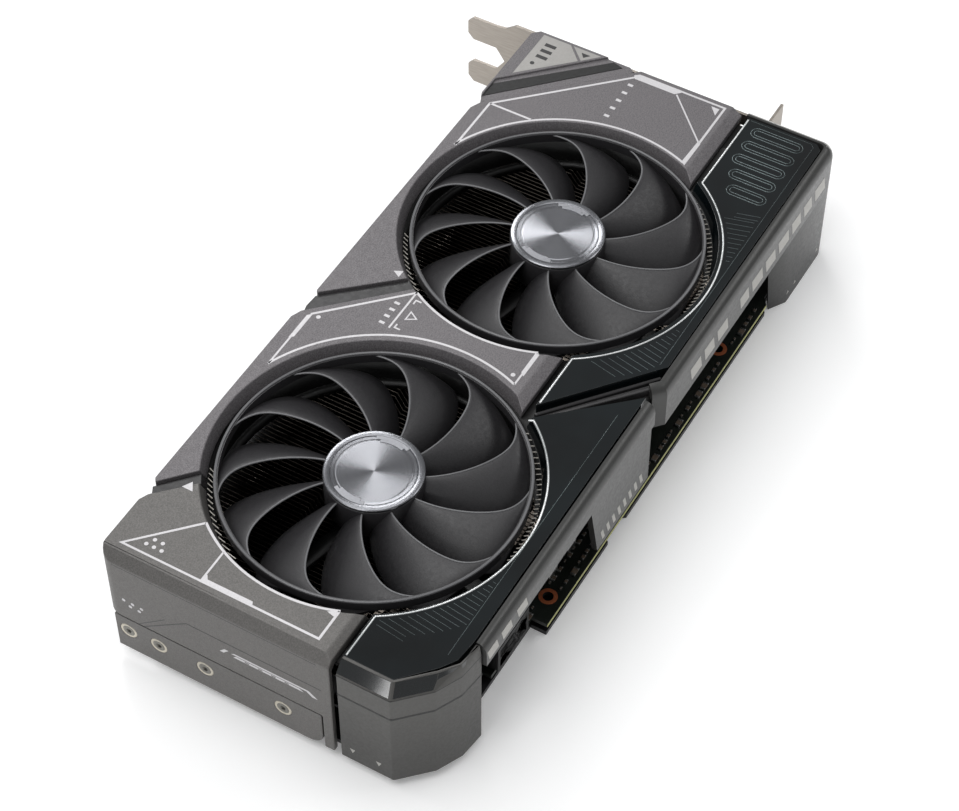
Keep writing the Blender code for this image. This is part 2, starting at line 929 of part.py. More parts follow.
package = place(
    "gpu_package",
    box_mesh("gpu_package", (24.0, -24.0, Z_BOARD + GAP - 0.05), (60.0, 12.0, Z_BOARD + 1.2)),
    "board",
)
join(package, box_mesh("gpu_die", (33.0, -14.0, Z_BOARD + 1.0), (51.0, 2.0, -42.35)))
MEMORY_AT = ((6.0, -22.0), (6.0, -6.0), (6.0, 10.0), (24.0, 20.5), (40.0, 20.5), (63.5, 10.0))
for number, (x, y) in enumerate(MEMORY_AT, 1):
    wide = y > 20
    size = (14.0, 12.0) if wide else (12.0, 14.0)
    place(
        f"memory_{number}",
        box_mesh(f"memory_{number}", (x, y, Z_BOARD + 0.3), (x + size[0], y + size[1], Z_BOARD + 1.4)),
        "chip",
    )

# Power socket: two rows of four cells, opening towards +Y
SOCKET_LOW = (113.0, 42.0, Z_BOARD + 0.3)
SOCKET_HIGH = (131.8, 53.6, -33.0)
socket = place(
    "power_socket",
    box_mesh("power_socket", SOCKET_LOW, SOCKET_HIGH),
    "black_plastic",
)
CELL = 4.2
CELL_WALL = 0.8
for row in range(2):
    for column in range(4):
        x = SOCKET_LOW[0] + 1.4 + column * CELL
        z = SOCKET_LOW[2] + 1.2 + row * (CELL + 0.4)
        cut(
            socket,
            box_mesh(
                f"cell_{row}_{column}",
                (x, SOCKET_LOW[1] + 2.0, z),
                (x + CELL - CELL_WALL, SOCKET_HIGH[1] + 1.0, z + CELL - CELL_WALL),
            ),
        )

backplate = place(
    "backplate",
    slab_mesh(
        "backplate",
        [
            (-85.5, 29.0),
            (-78.0, 29.0),
            (-78.0, 56.2),
            (-50.8, 55.2),
            (-46.6, 55.4),
            (-43.8, 57.6),
            (56.5, 57.6),
            (57.5, 56.2),
            (68.0, 56.2),
            (69.0, 57.6),
            (BOARD_END_X, 57.6),
            (BOARD_END_X, 52.0),
            (160.0, 52.0),
            (174.0, 40.0),
            (174.0, -50.0),
            (170.0, -54.0),
            (-82.0, -54.0),
            (-85.5, -50.0),
        ],
        Z_BACK,
        Z_BACK + BACKPLATE,
    ),
    "black_plastic",
)
for index in range(6):
    y = -40.0 + index * 13.0
    outline = [(140.0, y), (160.0, y), (164.0, y + 6.0), (144.0, y + 6.0)]
    cut(backplate, slab_mesh(f"vent_{index}", outline, Z_BACK - 1, Z_BACK + 4))
SCREW_AT = ((14.0, -32.0), (14.0, 22.0), (68.0, -32.0), (70.0, 30.0))
for number, (x, y) in enumerate(SCREW_AT, 1):
    cut(backplate, rod_mesh(f"back_screw_seat_{number}", 3.4, -2, 0.9, 16), at=(x, y, Z_BACK))
    cut(backplate, rod_mesh(f"back_screw_bore_{number}", 1.6, -1, 4, 12), at=(x, y, Z_BACK))
    screw = place(
        f"back_screw_{number}",
        rod_mesh(f"back_screw_{number}", 2.9, 0.1, 0.6, 16),
        "steel",
        at=(x, y, Z_BACK),
    )
    join(screw, rod_mesh(f"back_screw_shank_{number}", 1.3, 0.3, 3.8, 10), at=(x, y, Z_BACK))
    cut(screw, rod_mesh(f"back_screw_drive_{number}", 1.1, -1, 0.4, 6), at=(x, y, Z_BACK))

# ---------------------------------------------------------------- slot bracket
X_PLATE = X_BRACKET + BRACKET_SHEET
Z_BRACKET = (-47.8, -9.1)
PRONG = 10.2
PRONG_PITCH = 20.32
PRONG_LOW = Z_BRACKET[0] + 4.6  # lower edge of the prong of the first slot


def prong(low):
    """One prong, running down from the plate and tapering at its tip."""
    return [
        (-74.0, low + PRONG),
        (Y_PRONG_TIP + 2.2, low + PRONG),
        (Y_PRONG_TIP, low + PRONG - 2.4),
        (Y_PRONG_TIP, low + 2.4),
        (Y_PRONG_TIP + 2.2, low),
        (-74.0, low),
    ]


middle_low = PRONG_LOW + PRONG
middle_high = PRONG_LOW + PRONG_PITCH
bracket = place(
    "slot_bracket",
    slab_mesh(
        "slot_bracket",
        [(Y_FLANGE - 0.5, Z_BRACKET[0]), (Y_FLANGE - 0.5, Z_BRACKET[1])]
        + [(-66.0, Z_BRACKET[1]), (-70.0, Z_BRACKET[1] - 3.0)]
        + prong(PRONG_LOW + PRONG_PITCH)
        + [(-70.5, (middle_low + middle_high) / 2)]
        + prong(PRONG_LOW)
        + [(-66.0, Z_BRACKET[0])],
        X_BRACKET,
        X_PLATE,
        "X",
    ),
    "nickel",
)
join(
    bracket,
    box_mesh(
        "flange",
        (X_FLANGE_TIP, Y_FLANGE - BRACKET_SHEET, Z_BRACKET[0] + 0.2),
        (X_PLATE - 0.2, Y_FLANGE, Z_BRACKET[1] - 0.2),
    ),
)
for slot in range(2):
    z = Z_BRACKET[0] + 4.2 + slot * PRONG_PITCH
    low = (X_FLANGE_TIP - 1, Y_FLANGE - 3, z)
    high = (X_FLANGE_TIP + 5.8, Y_FLANGE + 1, z + 4.6)
    cut(bracket, box_mesh(f"flange_slot_{slot}", low, high))
PORT_Z = Z_BOARD + 3.3
PORT_Y = ((-52.0, -35.4), (-29.0, -12.4), (-6.0, 10.6))
HDMI_Y = (14.2, 28.9)
PORT_HALF = 2.9
for index, (low, high) in enumerate(PORT_Y + (HDMI_Y,), 1):
    cut(
        bracket,
        box_mesh(
            f"port_window_{index}",
            (X_BRACKET - 1, low - GAP, PORT_Z - PORT_HALF - GAP),
            (X_PLATE + 0.5, high + GAP, PORT_Z + PORT_HALF + GAP),
        ),
    )
for index in range(9):
    y = -54.0 + index * 9.2
    cut(
        bracket,
        slab_mesh(
            f"bracket_vent_{index}",
            [(y, -31.0), (y + 5.6, -31.0), (y + 9.0, -14.0), (y + 3.4, -14.0)],
            X_BRACKET - 1,
            X_PLATE + 1,
            "X",
        ),
    )


PORT_WALL = 0.8
TONGUE_HALF = 0.6


def port(name, low, high, depth, near_bevel, far_bevel):
    """A connector: a shell with bevelled lower corners, open towards the bracket, and its tongue."""
    bottom, top = PORT_Z - PORT_HALF, PORT_Z + PORT_HALF
    outline = [(low + near_bevel, bottom)]
    if far_bevel:
        outline += [(high - far_bevel, bottom), (high, bottom + far_bevel)]
    else:
        outline += [(high, bottom)]
    outline += [(high, top), (low, top), (low, bottom + near_bevel)]
    body = place(name, slab_mesh(name, outline, X_BRACKET - 0.4, X_BRACKET + depth, "X"), "nickel")
    cut(
        body,
        box_mesh(
            f"{name}_mouth",
            (X_BRACKET - 2, low + PORT_WALL, bottom + PORT_WALL),
            (X_BRACKET + depth - 2.5, high - PORT_WALL, top - PORT_WALL),
        ),
    )
    join(
        body,
        box_mesh(
            f"{name}_tongue",
            (X_BRACKET + 1.0, low + 2.4, PORT_Z - TONGUE_HALF),
            (X_BRACKET + depth - 1.0, high - 2.4, PORT_Z + TONGUE_HALF),
        ),
    )


for number, (low, high) in enumerate(PORT_Y, 1):
    port(f"display_port_{number}", low, high, 18.0, 1.0, 0.0)
port("hdmi_port", *HDMI_Y, 12.0, 1.0, 1.0)
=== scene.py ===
import json
from math import atan2, cos, hypot, pi, radians, sin
from random import Random

import bmesh
import bpy
from mathutils import Matrix, Vector

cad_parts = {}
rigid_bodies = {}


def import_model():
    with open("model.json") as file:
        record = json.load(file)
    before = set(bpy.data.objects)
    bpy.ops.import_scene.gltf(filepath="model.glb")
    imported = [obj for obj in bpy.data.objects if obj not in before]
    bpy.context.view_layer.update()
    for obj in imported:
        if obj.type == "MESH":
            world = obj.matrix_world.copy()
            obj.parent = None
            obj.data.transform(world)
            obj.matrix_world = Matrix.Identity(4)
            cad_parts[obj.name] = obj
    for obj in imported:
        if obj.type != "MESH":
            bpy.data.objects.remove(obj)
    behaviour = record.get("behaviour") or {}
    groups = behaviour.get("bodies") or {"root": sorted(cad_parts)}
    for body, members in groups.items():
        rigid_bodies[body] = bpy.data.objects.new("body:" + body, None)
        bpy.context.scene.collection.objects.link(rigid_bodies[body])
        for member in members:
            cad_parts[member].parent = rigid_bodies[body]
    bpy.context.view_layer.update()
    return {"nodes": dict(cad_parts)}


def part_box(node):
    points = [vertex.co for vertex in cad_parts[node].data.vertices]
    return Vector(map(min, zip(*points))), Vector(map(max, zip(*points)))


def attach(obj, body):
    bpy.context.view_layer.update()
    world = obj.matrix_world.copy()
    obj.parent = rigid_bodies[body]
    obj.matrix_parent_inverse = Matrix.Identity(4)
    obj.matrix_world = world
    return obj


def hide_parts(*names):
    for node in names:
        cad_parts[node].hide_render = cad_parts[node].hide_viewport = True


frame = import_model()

# Card coordinates, in millimetres: the origin is the axis of the fan nearer the slot bracket,
# at the level of the face panels. +X runs to the far end, +Y to the side with the power socket.
MM = 0.001
cap_low, cap_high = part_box("fan_cap_1")
far_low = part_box("fan_cap_2")[0]
PANEL_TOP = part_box("panel_bracket")[1].z
ORIGIN = Vector(((cap_low.x + cap_high.x) / 2, (cap_low.y + cap_high.y) / 2, PANEL_TOP))
TO_WORLD = Matrix.Translation(ORIGIN) @ Matrix.Scale(MM, 4)
FAN_PITCH = (far_low.x - cap_low.x) / MM
FAN_X = (0.0, FAN_PITCH)


def low_card(node):
    return (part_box(node)[0] - ORIGIN) / MM


def high_card(node):
    return (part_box(node)[1] - ORIGIN) / MM


X_END = high_card("end_plate").x
Y_SIDE = high_card("side_rail_end").y
Z_GLOSS = high_card("gloss_panel_end").z
Z_LEG = low_card("side_rail_bracket").z
PROUD = 0.03  # how far printed lines stand over their surface
PROUD_SHAPE = 0.045  # printed shapes lie a little over the lines
SUNK = -0.12  # both reach into the surface, so that no gap shows under them
CLOUD = 40.0  # size of the broad changes of tone in a coat


# ---- materials
def srgb(red, green, blue):
    """Display colour, 0 to 255, as scene-linear values."""
    made = []
    for value in (red, green, blue):
        value /= 255
        made.append(value / 12.92 if value <= 0.04045 else ((value + 0.055) / 1.055) ** 2.4)
    return (*made, 1.0)


class Nodes:
    """A material's node tree, with short calls for the nodes that the finishes share."""

    def __init__(self, name):
        self.material = bpy.data.materials.new(name)
        self.material.use_nodes = True
        self.tree = self.material.node_tree
        self.shader = self.tree.nodes["Principled BSDF"]
        self.place = self.new("ShaderNodeTexCoord").outputs["Object"]

    def new(self, kind, **settings):
        node = self.tree.nodes.new(kind)
        for key, value in settings.items():
            setattr(node, key, value)
        return node

    def link(self, output, target):
        self.tree.links.new(output, target)

    def noise(self, size, detail=2.0, stretch=(1, 1, 1)):
        """Noise with features of about this size, in millimetres."""
        mapping = self.new("ShaderNodeMapping")
        mapping.inputs["Scale"].default_value = stretch
        self.link(self.place, mapping.inputs["Vector"])
        noise = self.new("ShaderNodeTexNoise")
        noise.inputs["Scale"].default_value = 1 / (size * MM)
        noise.inputs["Detail"].default_value = detail
        self.link(mapping.outputs["Vector"], noise.inputs["Vector"])
        return noise.outputs["Fac"]

    def spread(self, value, low, high, bottom=0.3, top=0.7):
        """Maps a noise value to a range."""
        node = self.new("ShaderNodeMapRange")
        node.inputs["From Min"].default_value = bottom
        node.inputs["From Max"].default_value = top
        node.inputs["To Min"].default_value = low
        node.inputs["To Max"].default_value = high
        self.link(value, node.inputs["Value"])
        return node.outputs["Result"]

    def blend(self, factor, first, second):
        """Mixes two colours, each a colour or another node's output."""
        node = self.new("ShaderNodeMix", data_type="RGBA")
        self.link(factor, node.inputs["Factor"])
        for socket, value in ((node.inputs[6], first), (node.inputs[7], second)):
            if isinstance(value, tuple):
                socket.default_value = value
            else:
                self.link(value, socket)
        return node.outputs[2]

    def feed(self, socket, output):
        """Links an output to one of the shader's sockets."""
        self.link(output, self.shader.inputs[socket])

    def bump(self, height, strength, distance):
        """Roughens the surface by a pattern of heights, to a distance in millimetres."""
        node = self.new("ShaderNodeBump")
        node.inputs["Strength"].default_value = strength
        node.inputs["Distance"].default_value = distance * MM
        self.link(height, node.inputs["Height"])
        self.feed("Normal", node.outputs["Normal"])

    def split(self, output):
        """The three parts of a vector."""
        node = self.new("ShaderNodeSeparateXYZ")
        self.link(output, node.inputs["Vector"])
        return node.outputs

    def sockets(self, values):
        """Sets what is the same all over the surface."""
        for key, value in values.items():
            self.shader.inputs[key].default_value = value


def shade(colour, amount):
    return (*[min(1.0, channel * amount) for channel in colour[:3]], 1.0)


def painted_low_shade(nodes, colour, tone, low, high, share):
    """Painted shade: darkens a tone below the high level, down to a share of the colour at the low level.
    """
    level = nodes.spread(nodes.split(nodes.place)["Z"], 0.0, 1.0, low * MM, high * MM)
    return nodes.blend(level, shade(colour, share), tone)


def coated(name, colour, roughness, grain, contrast, bump=0.3, low_shade=None, **sockets):
    """A satin coat or moulded surface: fine speckle over broad, faint clouds of tone.

    grain is the size of the speckle. The shade tuple is (low, high, share), with world levels: painted
    shade for a surface that gets darker towards its foot, where less light falls.
    """
    nodes = Nodes(name)
    nodes.sockets(sockets)
    fine = nodes.noise(grain, 3.0)
    broad = nodes.noise(CLOUD, 2.0)
    dots = nodes.spread(fine, 0.0, 1.0, 0.36, 0.64)
    tone = nodes.blend(dots, shade(colour, 1 - contrast), shade(colour, 1 + contrast))
    tone = nodes.blend(nodes.spread(broad, 0.0, 0.16), tone, shade(colour, 1.5))
    if low_shade:
        tone = painted_low_shade(nodes, colour, tone, *low_shade)
    nodes.feed("Base Color", tone)
    worn = nodes.noise(grain * 3, 2.0)
    nodes.feed("Roughness", nodes.spread(worn, roughness - 0.06, roughness + 0.06))
    nodes.bump(fine, bump, grain * 0.12)
    return nodes.material


def polished(name, colour, roughness, **sockets):
    """A glossy moulding, with a faint waviness and small changes of tone in its depth."""
    nodes = Nodes(name)
    nodes.sockets(sockets)
    depth = nodes.spread(nodes.noise(28.0, 3.0), 0.0, 1.0)
    nodes.feed("Base Color", nodes.blend(depth, shade(colour, 0.55), shade(colour, 1.6)))
    haze = nodes.noise(9.0, 4.0)
    nodes.feed("Roughness", nodes.spread(haze, roughness * 0.7, roughness * 1.6))
    nodes.bump(nodes.noise(14.0, 1.0), 0.12, 0.4)
    return nodes.material


def metal(name, colour, roughness, stretch=(1, 1, 1), size=0.6, **sockets):
    """Metal with fine marks, drawn out along one axis where stretch is small."""
    nodes = Nodes(name)
    nodes.sockets({"Metallic": 1.0, **sockets})
    marks = nodes.noise(size, 3.0, stretch)
    worn = nodes.spread(marks, 0.0, 1.0)
    nodes.feed("Base Color", nodes.blend(worn, shade(colour, 0.88), shade(colour, 1.12)))
    nodes.feed("Roughness", nodes.spread(marks, roughness - 0.07, roughness + 0.07))
    nodes.bump(marks, 0.15, size * 0.05)
    return nodes.material


def spun_disc(name, colour, centre_x):
    """Aluminium turned on a lathe: fine rings about the fan's axis, with highlights across them."""
    nodes = Nodes(name)
    nodes.sockets({"Metallic": 1.0, "Anisotropic": 0.95, "Anisotropic Rotation": 0.25})
    axis = ORIGIN + Vector((centre_x, 0, 0)) * MM
    shift = nodes.new("ShaderNodeMapping")
    shift.inputs["Location"].default_value = (-axis.x, -axis.y, 0)
    nodes.link(nodes.place, shift.inputs["Vector"])
    parts = nodes.split(shift.outputs["Vector"])
    flat = nodes.new("ShaderNodeCombineXYZ")
    for part in ("X", "Y"):
        nodes.link(parts[part], flat.inputs[part])
    radius = nodes.new("ShaderNodeVectorMath", operation="LENGTH")
    nodes.link(flat.outputs["Vector"], radius.inputs[0])
    noise = nodes.new("ShaderNodeTexNoise", noise_dimensions="1D")
    noise.inputs["Scale"].default_value = 1 / (0.25 * MM)
    noise.inputs["Detail"].default_value = 4.0
    nodes.link(radius.outputs["Value"], noise.inputs["W"])
    rings = noise.outputs["Fac"]
    tone = nodes.blend(nodes.spread(rings, 0.0, 1.0), shade(colour, 0.93), shade(colour, 1.05))
    nodes.feed("Base Color", tone)
    nodes.feed("Roughness", nodes.spread(rings, 0.2, 0.24))
    nodes.bump(rings, 0.1, 0.002)
    around = nodes.new("ShaderNodeTangent", direction_type="RADIAL", axis="Z")
    nodes.feed("Tangent", around.outputs["Tangent"])
    return nodes.material


def board_mask(name):
    """Black solder mask over raised tracks."""
    nodes = Nodes(name)
    nodes.sockets({"Coat Weight": 0.1, "Coat Roughness": 0.25, "Specular IOR Level": 0.3})
    bricks = nodes.new("ShaderNodeTexBrick")
    bricks.inputs["Scale"].default_value = 1 / (3.2 * MM)
    bricks.inputs["Mortar Size"].default_value = 0.12
    nodes.link(nodes.place, bricks.inputs["Vector"])
    tracks = bricks.outputs["Fac"]
    nodes.feed("Base Color", nodes.blend(tracks, srgb(12, 14, 12), srgb(20, 25, 20)))
    nodes.feed("Roughness", nodes.spread(nodes.noise(6.0), 0.32, 0.48))
    nodes.bump(tracks, 0.4, 0.05)
    return nodes.material


PANEL = coated("panel_coat", srgb(105, 102, 104), 0.5, 0.42, 0.3, 0.5, Metallic=0.35)
END_COAT = coated("end_coat", srgb(98, 96, 94), 0.48, 0.38, 0.2, 0.4, Metallic=0.35)
# painted shade: the corner coat darkens towards its foot, in place of the light falling from above
CORNER_LOW_SHADE = (14.0, 38.0, 0.72)
CORNER = coated("corner_coat", srgb(78, 77, 75), 0.46, 0.3, 0.04, 0.06, CORNER_LOW_SHADE, Metallic=0.3)
RAIL_SHEEN = {"Metallic": 0.3, "Coat Weight": 0.2, "Coat Roughness": 0.25, "Specular IOR Level": 0.35}
# painted shade: the rails and their legs darken towards their foot, in place of the light falling from
# above
RAIL_LOW_SHADE = (2.0, 46.0, 0.3)
RAIL = coated("rail_coat", srgb(66, 66, 65), 0.34, 0.3, 0.06, 0.1, RAIL_LOW_SHADE, **RAIL_SHEEN)
SILVER = coated("silver_ink", srgb(200, 198, 200), 0.45, 0.5, 0.06, 0.1, Metallic=0.2)
LABEL = coated("label_film", srgb(152, 150, 147), 0.42, 0.6, 0.04, 0.1, Metallic=0.3)
SIDE_INK = coated("side_ink", srgb(172, 170, 165), 0.45, 0.5, 0.06, 0.1, Metallic=0.2)
GLOSS = polished("smoked_gloss", srgb(9, 15, 17), 0.07, **{"Coat Weight": 0.4, "Coat Roughness": 0.03})
# painted highlight: the engraved slot edges are coloured lighter than the smoked panel, as where they
# catch the light
GLOSS_EDGE_HIGHLIGHT = polished("gloss_edge_highlight", srgb(98, 108, 109), 0.18, Metallic=0.6)
GLOSS_HATCH = polished("gloss_hatch", srgb(64, 73, 74), 0.22, Metallic=0.3)
CHAMFER = polished("chamfer_gloss", srgb(20, 23, 24), 0.14, **{"Coat Weight": 1.0, "Coat Roughness": 0.18})
# partly painted highlight: the polished rims are coloured near white, brighter than their own finish
RIM_POLISH_AND_HIGHLIGHT = polished("polished_rim_with_highlight", srgb(222, 228, 228), 0.22, Metallic=0.5)
TRIM = coated("trim_plastic", srgb(40, 39, 40), 0.42, 0.5, 0.1)
INNER = coated("inner_plastic", srgb(13, 13, 13), 0.5, 0.4, 0.15)
# painted shade: blades, hub and ring darken towards their lower parts, as in the shade under the blades
BLADE = coated("blade_plastic", srgb(43, 42, 44), 0.42, 0.42, 0.22, 0.4, low_shade=(38.5, 48.5, 0.42))
# painted highlight: a pale finish for the lips along the blades' top edges and the ring's rim
LIP_HIGHLIGHT = coated("blade_lip_highlight", srgb(104, 104, 106), 0.36, 0.3, 0.1, 0.1)
MAGNET = coated("bonded_magnet", srgb(34, 34, 34), 0.6, 0.3, 0.2)
FIN = metal("fin_sheet", srgb(66, 66, 68), 0.38, (1, 0.2, 1), 0.8)
# painted highlight: the fin tips and tabs are lighter, with a warm cast as a painted reflection of the
# copper pipes
FIN_TOP_HIGHLIGHT = metal("fin_top_highlight", srgb(132, 124, 116), 0.32, (1, 0.2, 1), 0.8)
# painted highlight: near-white tips, as where the fin ends catch the light
FIN_TIP_GLINT = metal("fin_tip_glint", srgb(244, 238, 228), 0.36, size=0.5, Metallic=0.25)
COPPER = metal("pipe_copper", srgb(150, 120, 88), 0.3, (0.15, 1, 1), 0.8)
RING_COPPER = metal("ring_copper", srgb(196, 112, 74), 0.38, size=0.5, Metallic=0.6)
WINDING = metal("winding", srgb(150, 88, 48), 0.35, (1, 1, 0.2), 0.5)
STEEL = metal("ground_steel", srgb(176, 175, 172), 0.3, (1, 1, 0.3), 0.4)
SCREW = metal("screw_steel", srgb(120, 118, 112), 0.36, size=0.5)
WASHER = metal("washer_nickel", srgb(196, 190, 176), 0.42, size=0.5)
NICKEL = metal("bracket_nickel", srgb(164, 157, 149), 0.42, (1, 0.12, 1), 0.7)
CAP_MARK = metal("cap_mark", srgb(142, 143, 147), 0.4, size=0.4)
SHELL = metal("port_shell", srgb(190, 184, 172), 0.34, (1, 0.3, 1), 0.5)
BOARD = board_mask("solder_mask")
BOARD_EDGE = coated("board_edge", srgb(186, 186, 122), 0.6, 0.5, 0.2)
CHIP = coated("chip_mould", srgb(32, 32, 32), 0.4, 0.25, 0.2)
GOLD = metal("gold_pad", srgb(214, 170, 92), 0.28, (1, 0.3, 1), 0.5)
SOLDER = metal("solder", srgb(190, 190, 188), 0.3, size=0.4)
CERAMIC = coated("ceramic", srgb(88, 76, 64), 0.5, 0.3, 0.1)
BACK = coated("back_coat", srgb(34, 34, 36), 0.42, 0.35, 0.2, Metallic=0.5)
TONGUE = coated("port_tongue", srgb(24, 24, 26), 0.45, 0.3, 0.1)
SPUN = [spun_disc(f"spun_aluminium_{n}", srgb(138, 139, 143), x) for n, x in enumerate(FAN_X, 1)]

NODE_FINISH = {
    PANEL: ("panel_bracket", "panel_middle", "corner_block"),
    END_COAT: ("panel_end", "end_plate"),
    GLOSS: ("gloss_panel_bracket", "gloss_panel_end"),
    CORNER: ("end_corner_block",),
    TRIM: ("trim_middle", "trim_end"),
    INNER: ("shroud_frame", "fan_carrier_1", "fan_carrier_2", "power_socket"),
    MAGNET: ("fan_magnet_1", "fan_magnet_2"),
    STEEL: ("fan_shaft_1", "fan_shaft_2", "fan_bearing_1", "fan_bearing_2"),
    WINDING: ("fan_stator_1", "fan_stator_2"),
    COPPER: ("cold_plate", "heat_pipe_1", "heat_pipe_2", "heat_pipe_3", "heat_pipe_4"),
    BOARD: ("circuit_board", "gpu_package"),
    CHIP: tuple(f"memory_{n}" for n in range(1, 7)),
    BACK: ("backplate",),
    NICKEL: ("slot_bracket",),
    SHELL: ("display_port_1", "display_port_2", "display_port_3", "hdmi_port"),
    SCREW: tuple(f"{side}_screw_{n}" for side in ("end", "back") for n in range(1, 5)),
}
ROUNDED = {  # edge radius of the CAD parts that show, in millimetres
    "panel_bracket": 0.35,
    "panel_middle": 0.35,
    "panel_end": 0.45,
    "corner_block": 0.35,
    "end_plate": 0.3,
    "gloss_panel_bracket": 0.1,
    "gloss_panel_end": 0.1,
    "end_corner_block": 0.5,
    "trim_middle": 0.1,
    "trim_end": 0.1,
    "power_socket": 0.2,
    "circuit_board": 0.1,
}
FLAT_SHEETS = ("slot_bracket", "backplate")  # pierced sheets, left with flat faces


def round_edges(node, radius):
    """Joins the level faces of a CAD part and rounds the edges between them."""
    level = node.modifiers.new("flat faces", "DECIMATE")
    level.decimate_type = "DISSOLVE"
    level.angle_limit = radians(0.6)
    bevel = node.modifiers.new("rounded edges", "BEVEL")
    bevel.width = radius * MM
    bevel.segments = 3
    bevel.limit_method = "ANGLE"
    bevel.angle_limit = radians(28)
    bevel.use_clamp_overlap = False
    bevel.miter_outer = "MITER_ARC"


def smooth_faces(node, radius):
    """Smooth shading across a CAD part's curves. Its edges are rounded if it has a radius."""
    node.data.shade_smooth()
    weld = node.modifiers.new("weld", "WELD")
    weld.merge_threshold = 0.002 * MM
    if radius:
        round_edges(node, radius)
    normals = node.modifiers.new("face normals", "WEIGHTED_NORMAL")
    normals.keep_sharp = True
    node.data.set_sharp_from_angle(angle=radians(36))


def dress_nodes():
    """Gives each carried-over node its finish and its shading."""
    for finish, names in NODE_FINISH.items():
        for name in names:
            node = frame["nodes"][name]
            node.data.materials.clear()
            node.data.materials.append(finish)
            if name in FLAT_SHEETS:
                node.data.shade_flat()
            else:
                smooth_faces(node, ROUNDED.get(name))


# ---- mesh helpers
TOP, SIDE, END = "top", "side", "end"


def on_face(face, u, v, height):
    """A point given in a face's own plane, as card coordinates."""
    if face == TOP:
        return (u, v, height)
    if face == SIDE:
        return (u, height, v)
    return (height, u, v)


def add_object(name, data):
    obj = bpy.data.objects.new(name, data)
    bpy.context.scene.collection.objects.link(obj)
    return obj


def piece(name, bm, finish, body="card", replaces=(), smooth=None):
    """Makes a piece of a mesh in card millimetres, riding on a body."""
    bmesh.ops.recalc_face_normals(bm, faces=bm.faces)
    bm.transform(TO_WORLD)
    mesh = bpy.data.meshes.new(name)
    bm.to_mesh(mesh)
    bm.free()
    for one in finish if isinstance(finish, (list, tuple)) else [finish]:
        mesh.materials.append(one)
    if smooth is not None:
        mesh.shade_smooth()
        mesh.set_sharp_from_angle(angle=radians(smooth))
    obj = add_object(name, mesh)
    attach(obj, body)
    if replaces:
        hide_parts(*replaces)


def arc(centre, radius, start, end, steps=24):
    """Points on an arc, with angles in degrees."""
    turns = [radians(start + (end - start) * i / steps) for i in range(steps + 1)]
    return [(centre[0] + radius * cos(turn), centre[1] + radius * sin(turn)) for turn in turns]


def circle(centre, radius, sides):
    """Points evenly round a circle."""
    return arc(centre, radius, 0, 360, sides)[:-1]


def bar(u, v, length, height, slant=0.0):
    """Corners of a bar from its first corner. Its far edge is shifted along by slant."""
    return [(u, v), (u + length, v), (u + length + slant, v + height), (u + slant, v + height)]


def row(start, pitch, count):
    """Evenly spaced places along a line."""
    return [start + pitch * index for index in range(count)]


def arc_between(centre_x, start, end, steps):
    """Points on an arc about a fan's axis, from one point to another the shorter way round."""
    turns = [atan2(p[1], p[0] - centre_x) for p in (start, end)]
    radii = [hypot(p[0] - centre_x, p[1]) for p in (start, end)]
    swing = (turns[1] - turns[0] + pi) % (2 * pi) - pi
    made = []
    for i in range(steps + 1):
        share = i / steps
        radius = radii[0] + (radii[1] - radii[0]) * share
        angle = turns[0] + swing * share
        made.append((centre_x + radius * cos(angle), radius * sin(angle)))
    return made


def ribbon_section(width, low, high, soft=0.3):
    """Section of a raised line, with eased upper edges."""
    half = width / 2
    ease = soft * min(half, high - low)
    top = [(half, high - ease), (half - ease, high), (ease - half, high), (-half, high - ease)]
    return [(-half, low), (half, low)] + top


def bead_section(width, low, high, steps=5):
    """Section of a round-topped line."""
    half = width / 2
    turns = [pi * i / steps for i in range(1, steps)]
    top = [(half * cos(turn), low + (high - low) * sin(turn)) for turn in turns]
    return [(-half, low), (half, low)] + top


def outline_ring(bm, outline, level, face=TOP):
    """Vertices round a flat outline, at one level of a face."""
    return [bm.verts.new(on_face(face, u, v, level)) for u, v in outline]


def skin(bm, rings, index=0, edge=(), closed=False):
    """Joins rings of vertices, with ends unless closed. The sides in edge take the second finish."""
    pairs = list(zip(rings, rings[1:]))
    if closed:
        pairs.append((rings[-1], rings[0]))
    size = len(rings[0])
    for here, there in pairs:
        for k in range(size):
            m = (k + 1) % size
            side = bm.faces.new((here[k], here[m], there[m], there[k]))
            side.material_index = 1 if k in edge else index
    if not closed:
        for end in (rings[0], rings[-1]):
            bm.faces.new(end).material_index = index


def sweep(bm, path, section, face=TOP, closed=False, edge=()):
    """Carries a section of (offset, height) along a flat path, with mitred corners."""
    points = [Vector(p) for p in path]
    count = len(points)
    rings = []
    for i, point in enumerate(points):
        ways = []
        if closed or i > 0:
            ways.append((point - points[i - 1]).normalized())
        if closed or i < count - 1:
            ways.append((points[(i + 1) % count] - point).normalized())
        along = (ways[0] + ways[-1]).normalized()
        across = Vector((-along.y, along.x))
        stretch = 1 / max(0.45, along.dot(ways[-1]))  # holds back the mitre of a sharp corner
        ring = []
        for offset, height in section:
            at = point + across * offset * stretch
            ring.append(bm.verts.new(on_face(face, at.x, at.y, height)))
        rings.append(ring)
    skin(bm, rings, edge=edge, closed=closed)


def plate(bm, outline, low, high, face=TOP):
    """A flat outline given thickness."""
    skin(bm, [outline_ring(bm, outline, level, face) for level in (low, high)])


def loft(bm, sections):
    """Joins outlines of the same number of points, each at its own level."""
    skin(bm, [outline_ring(bm, outline, level) for level, outline in sections])


def eased_box(bm, low, high, ease, index=0):
    """A box with its upper edges chamfered."""
    rings = []
    for level, inset in ((low[2], 0.0), (high[2] - ease, 0.0), (high[2], ease)):
        size = (high[0] - low[0] - 2 * inset, high[1] - low[1] - 2 * inset)
        rings.append(outline_ring(bm, bar(low[0] + inset, low[1] + inset, *size), level))
    skin(bm, rings, index)


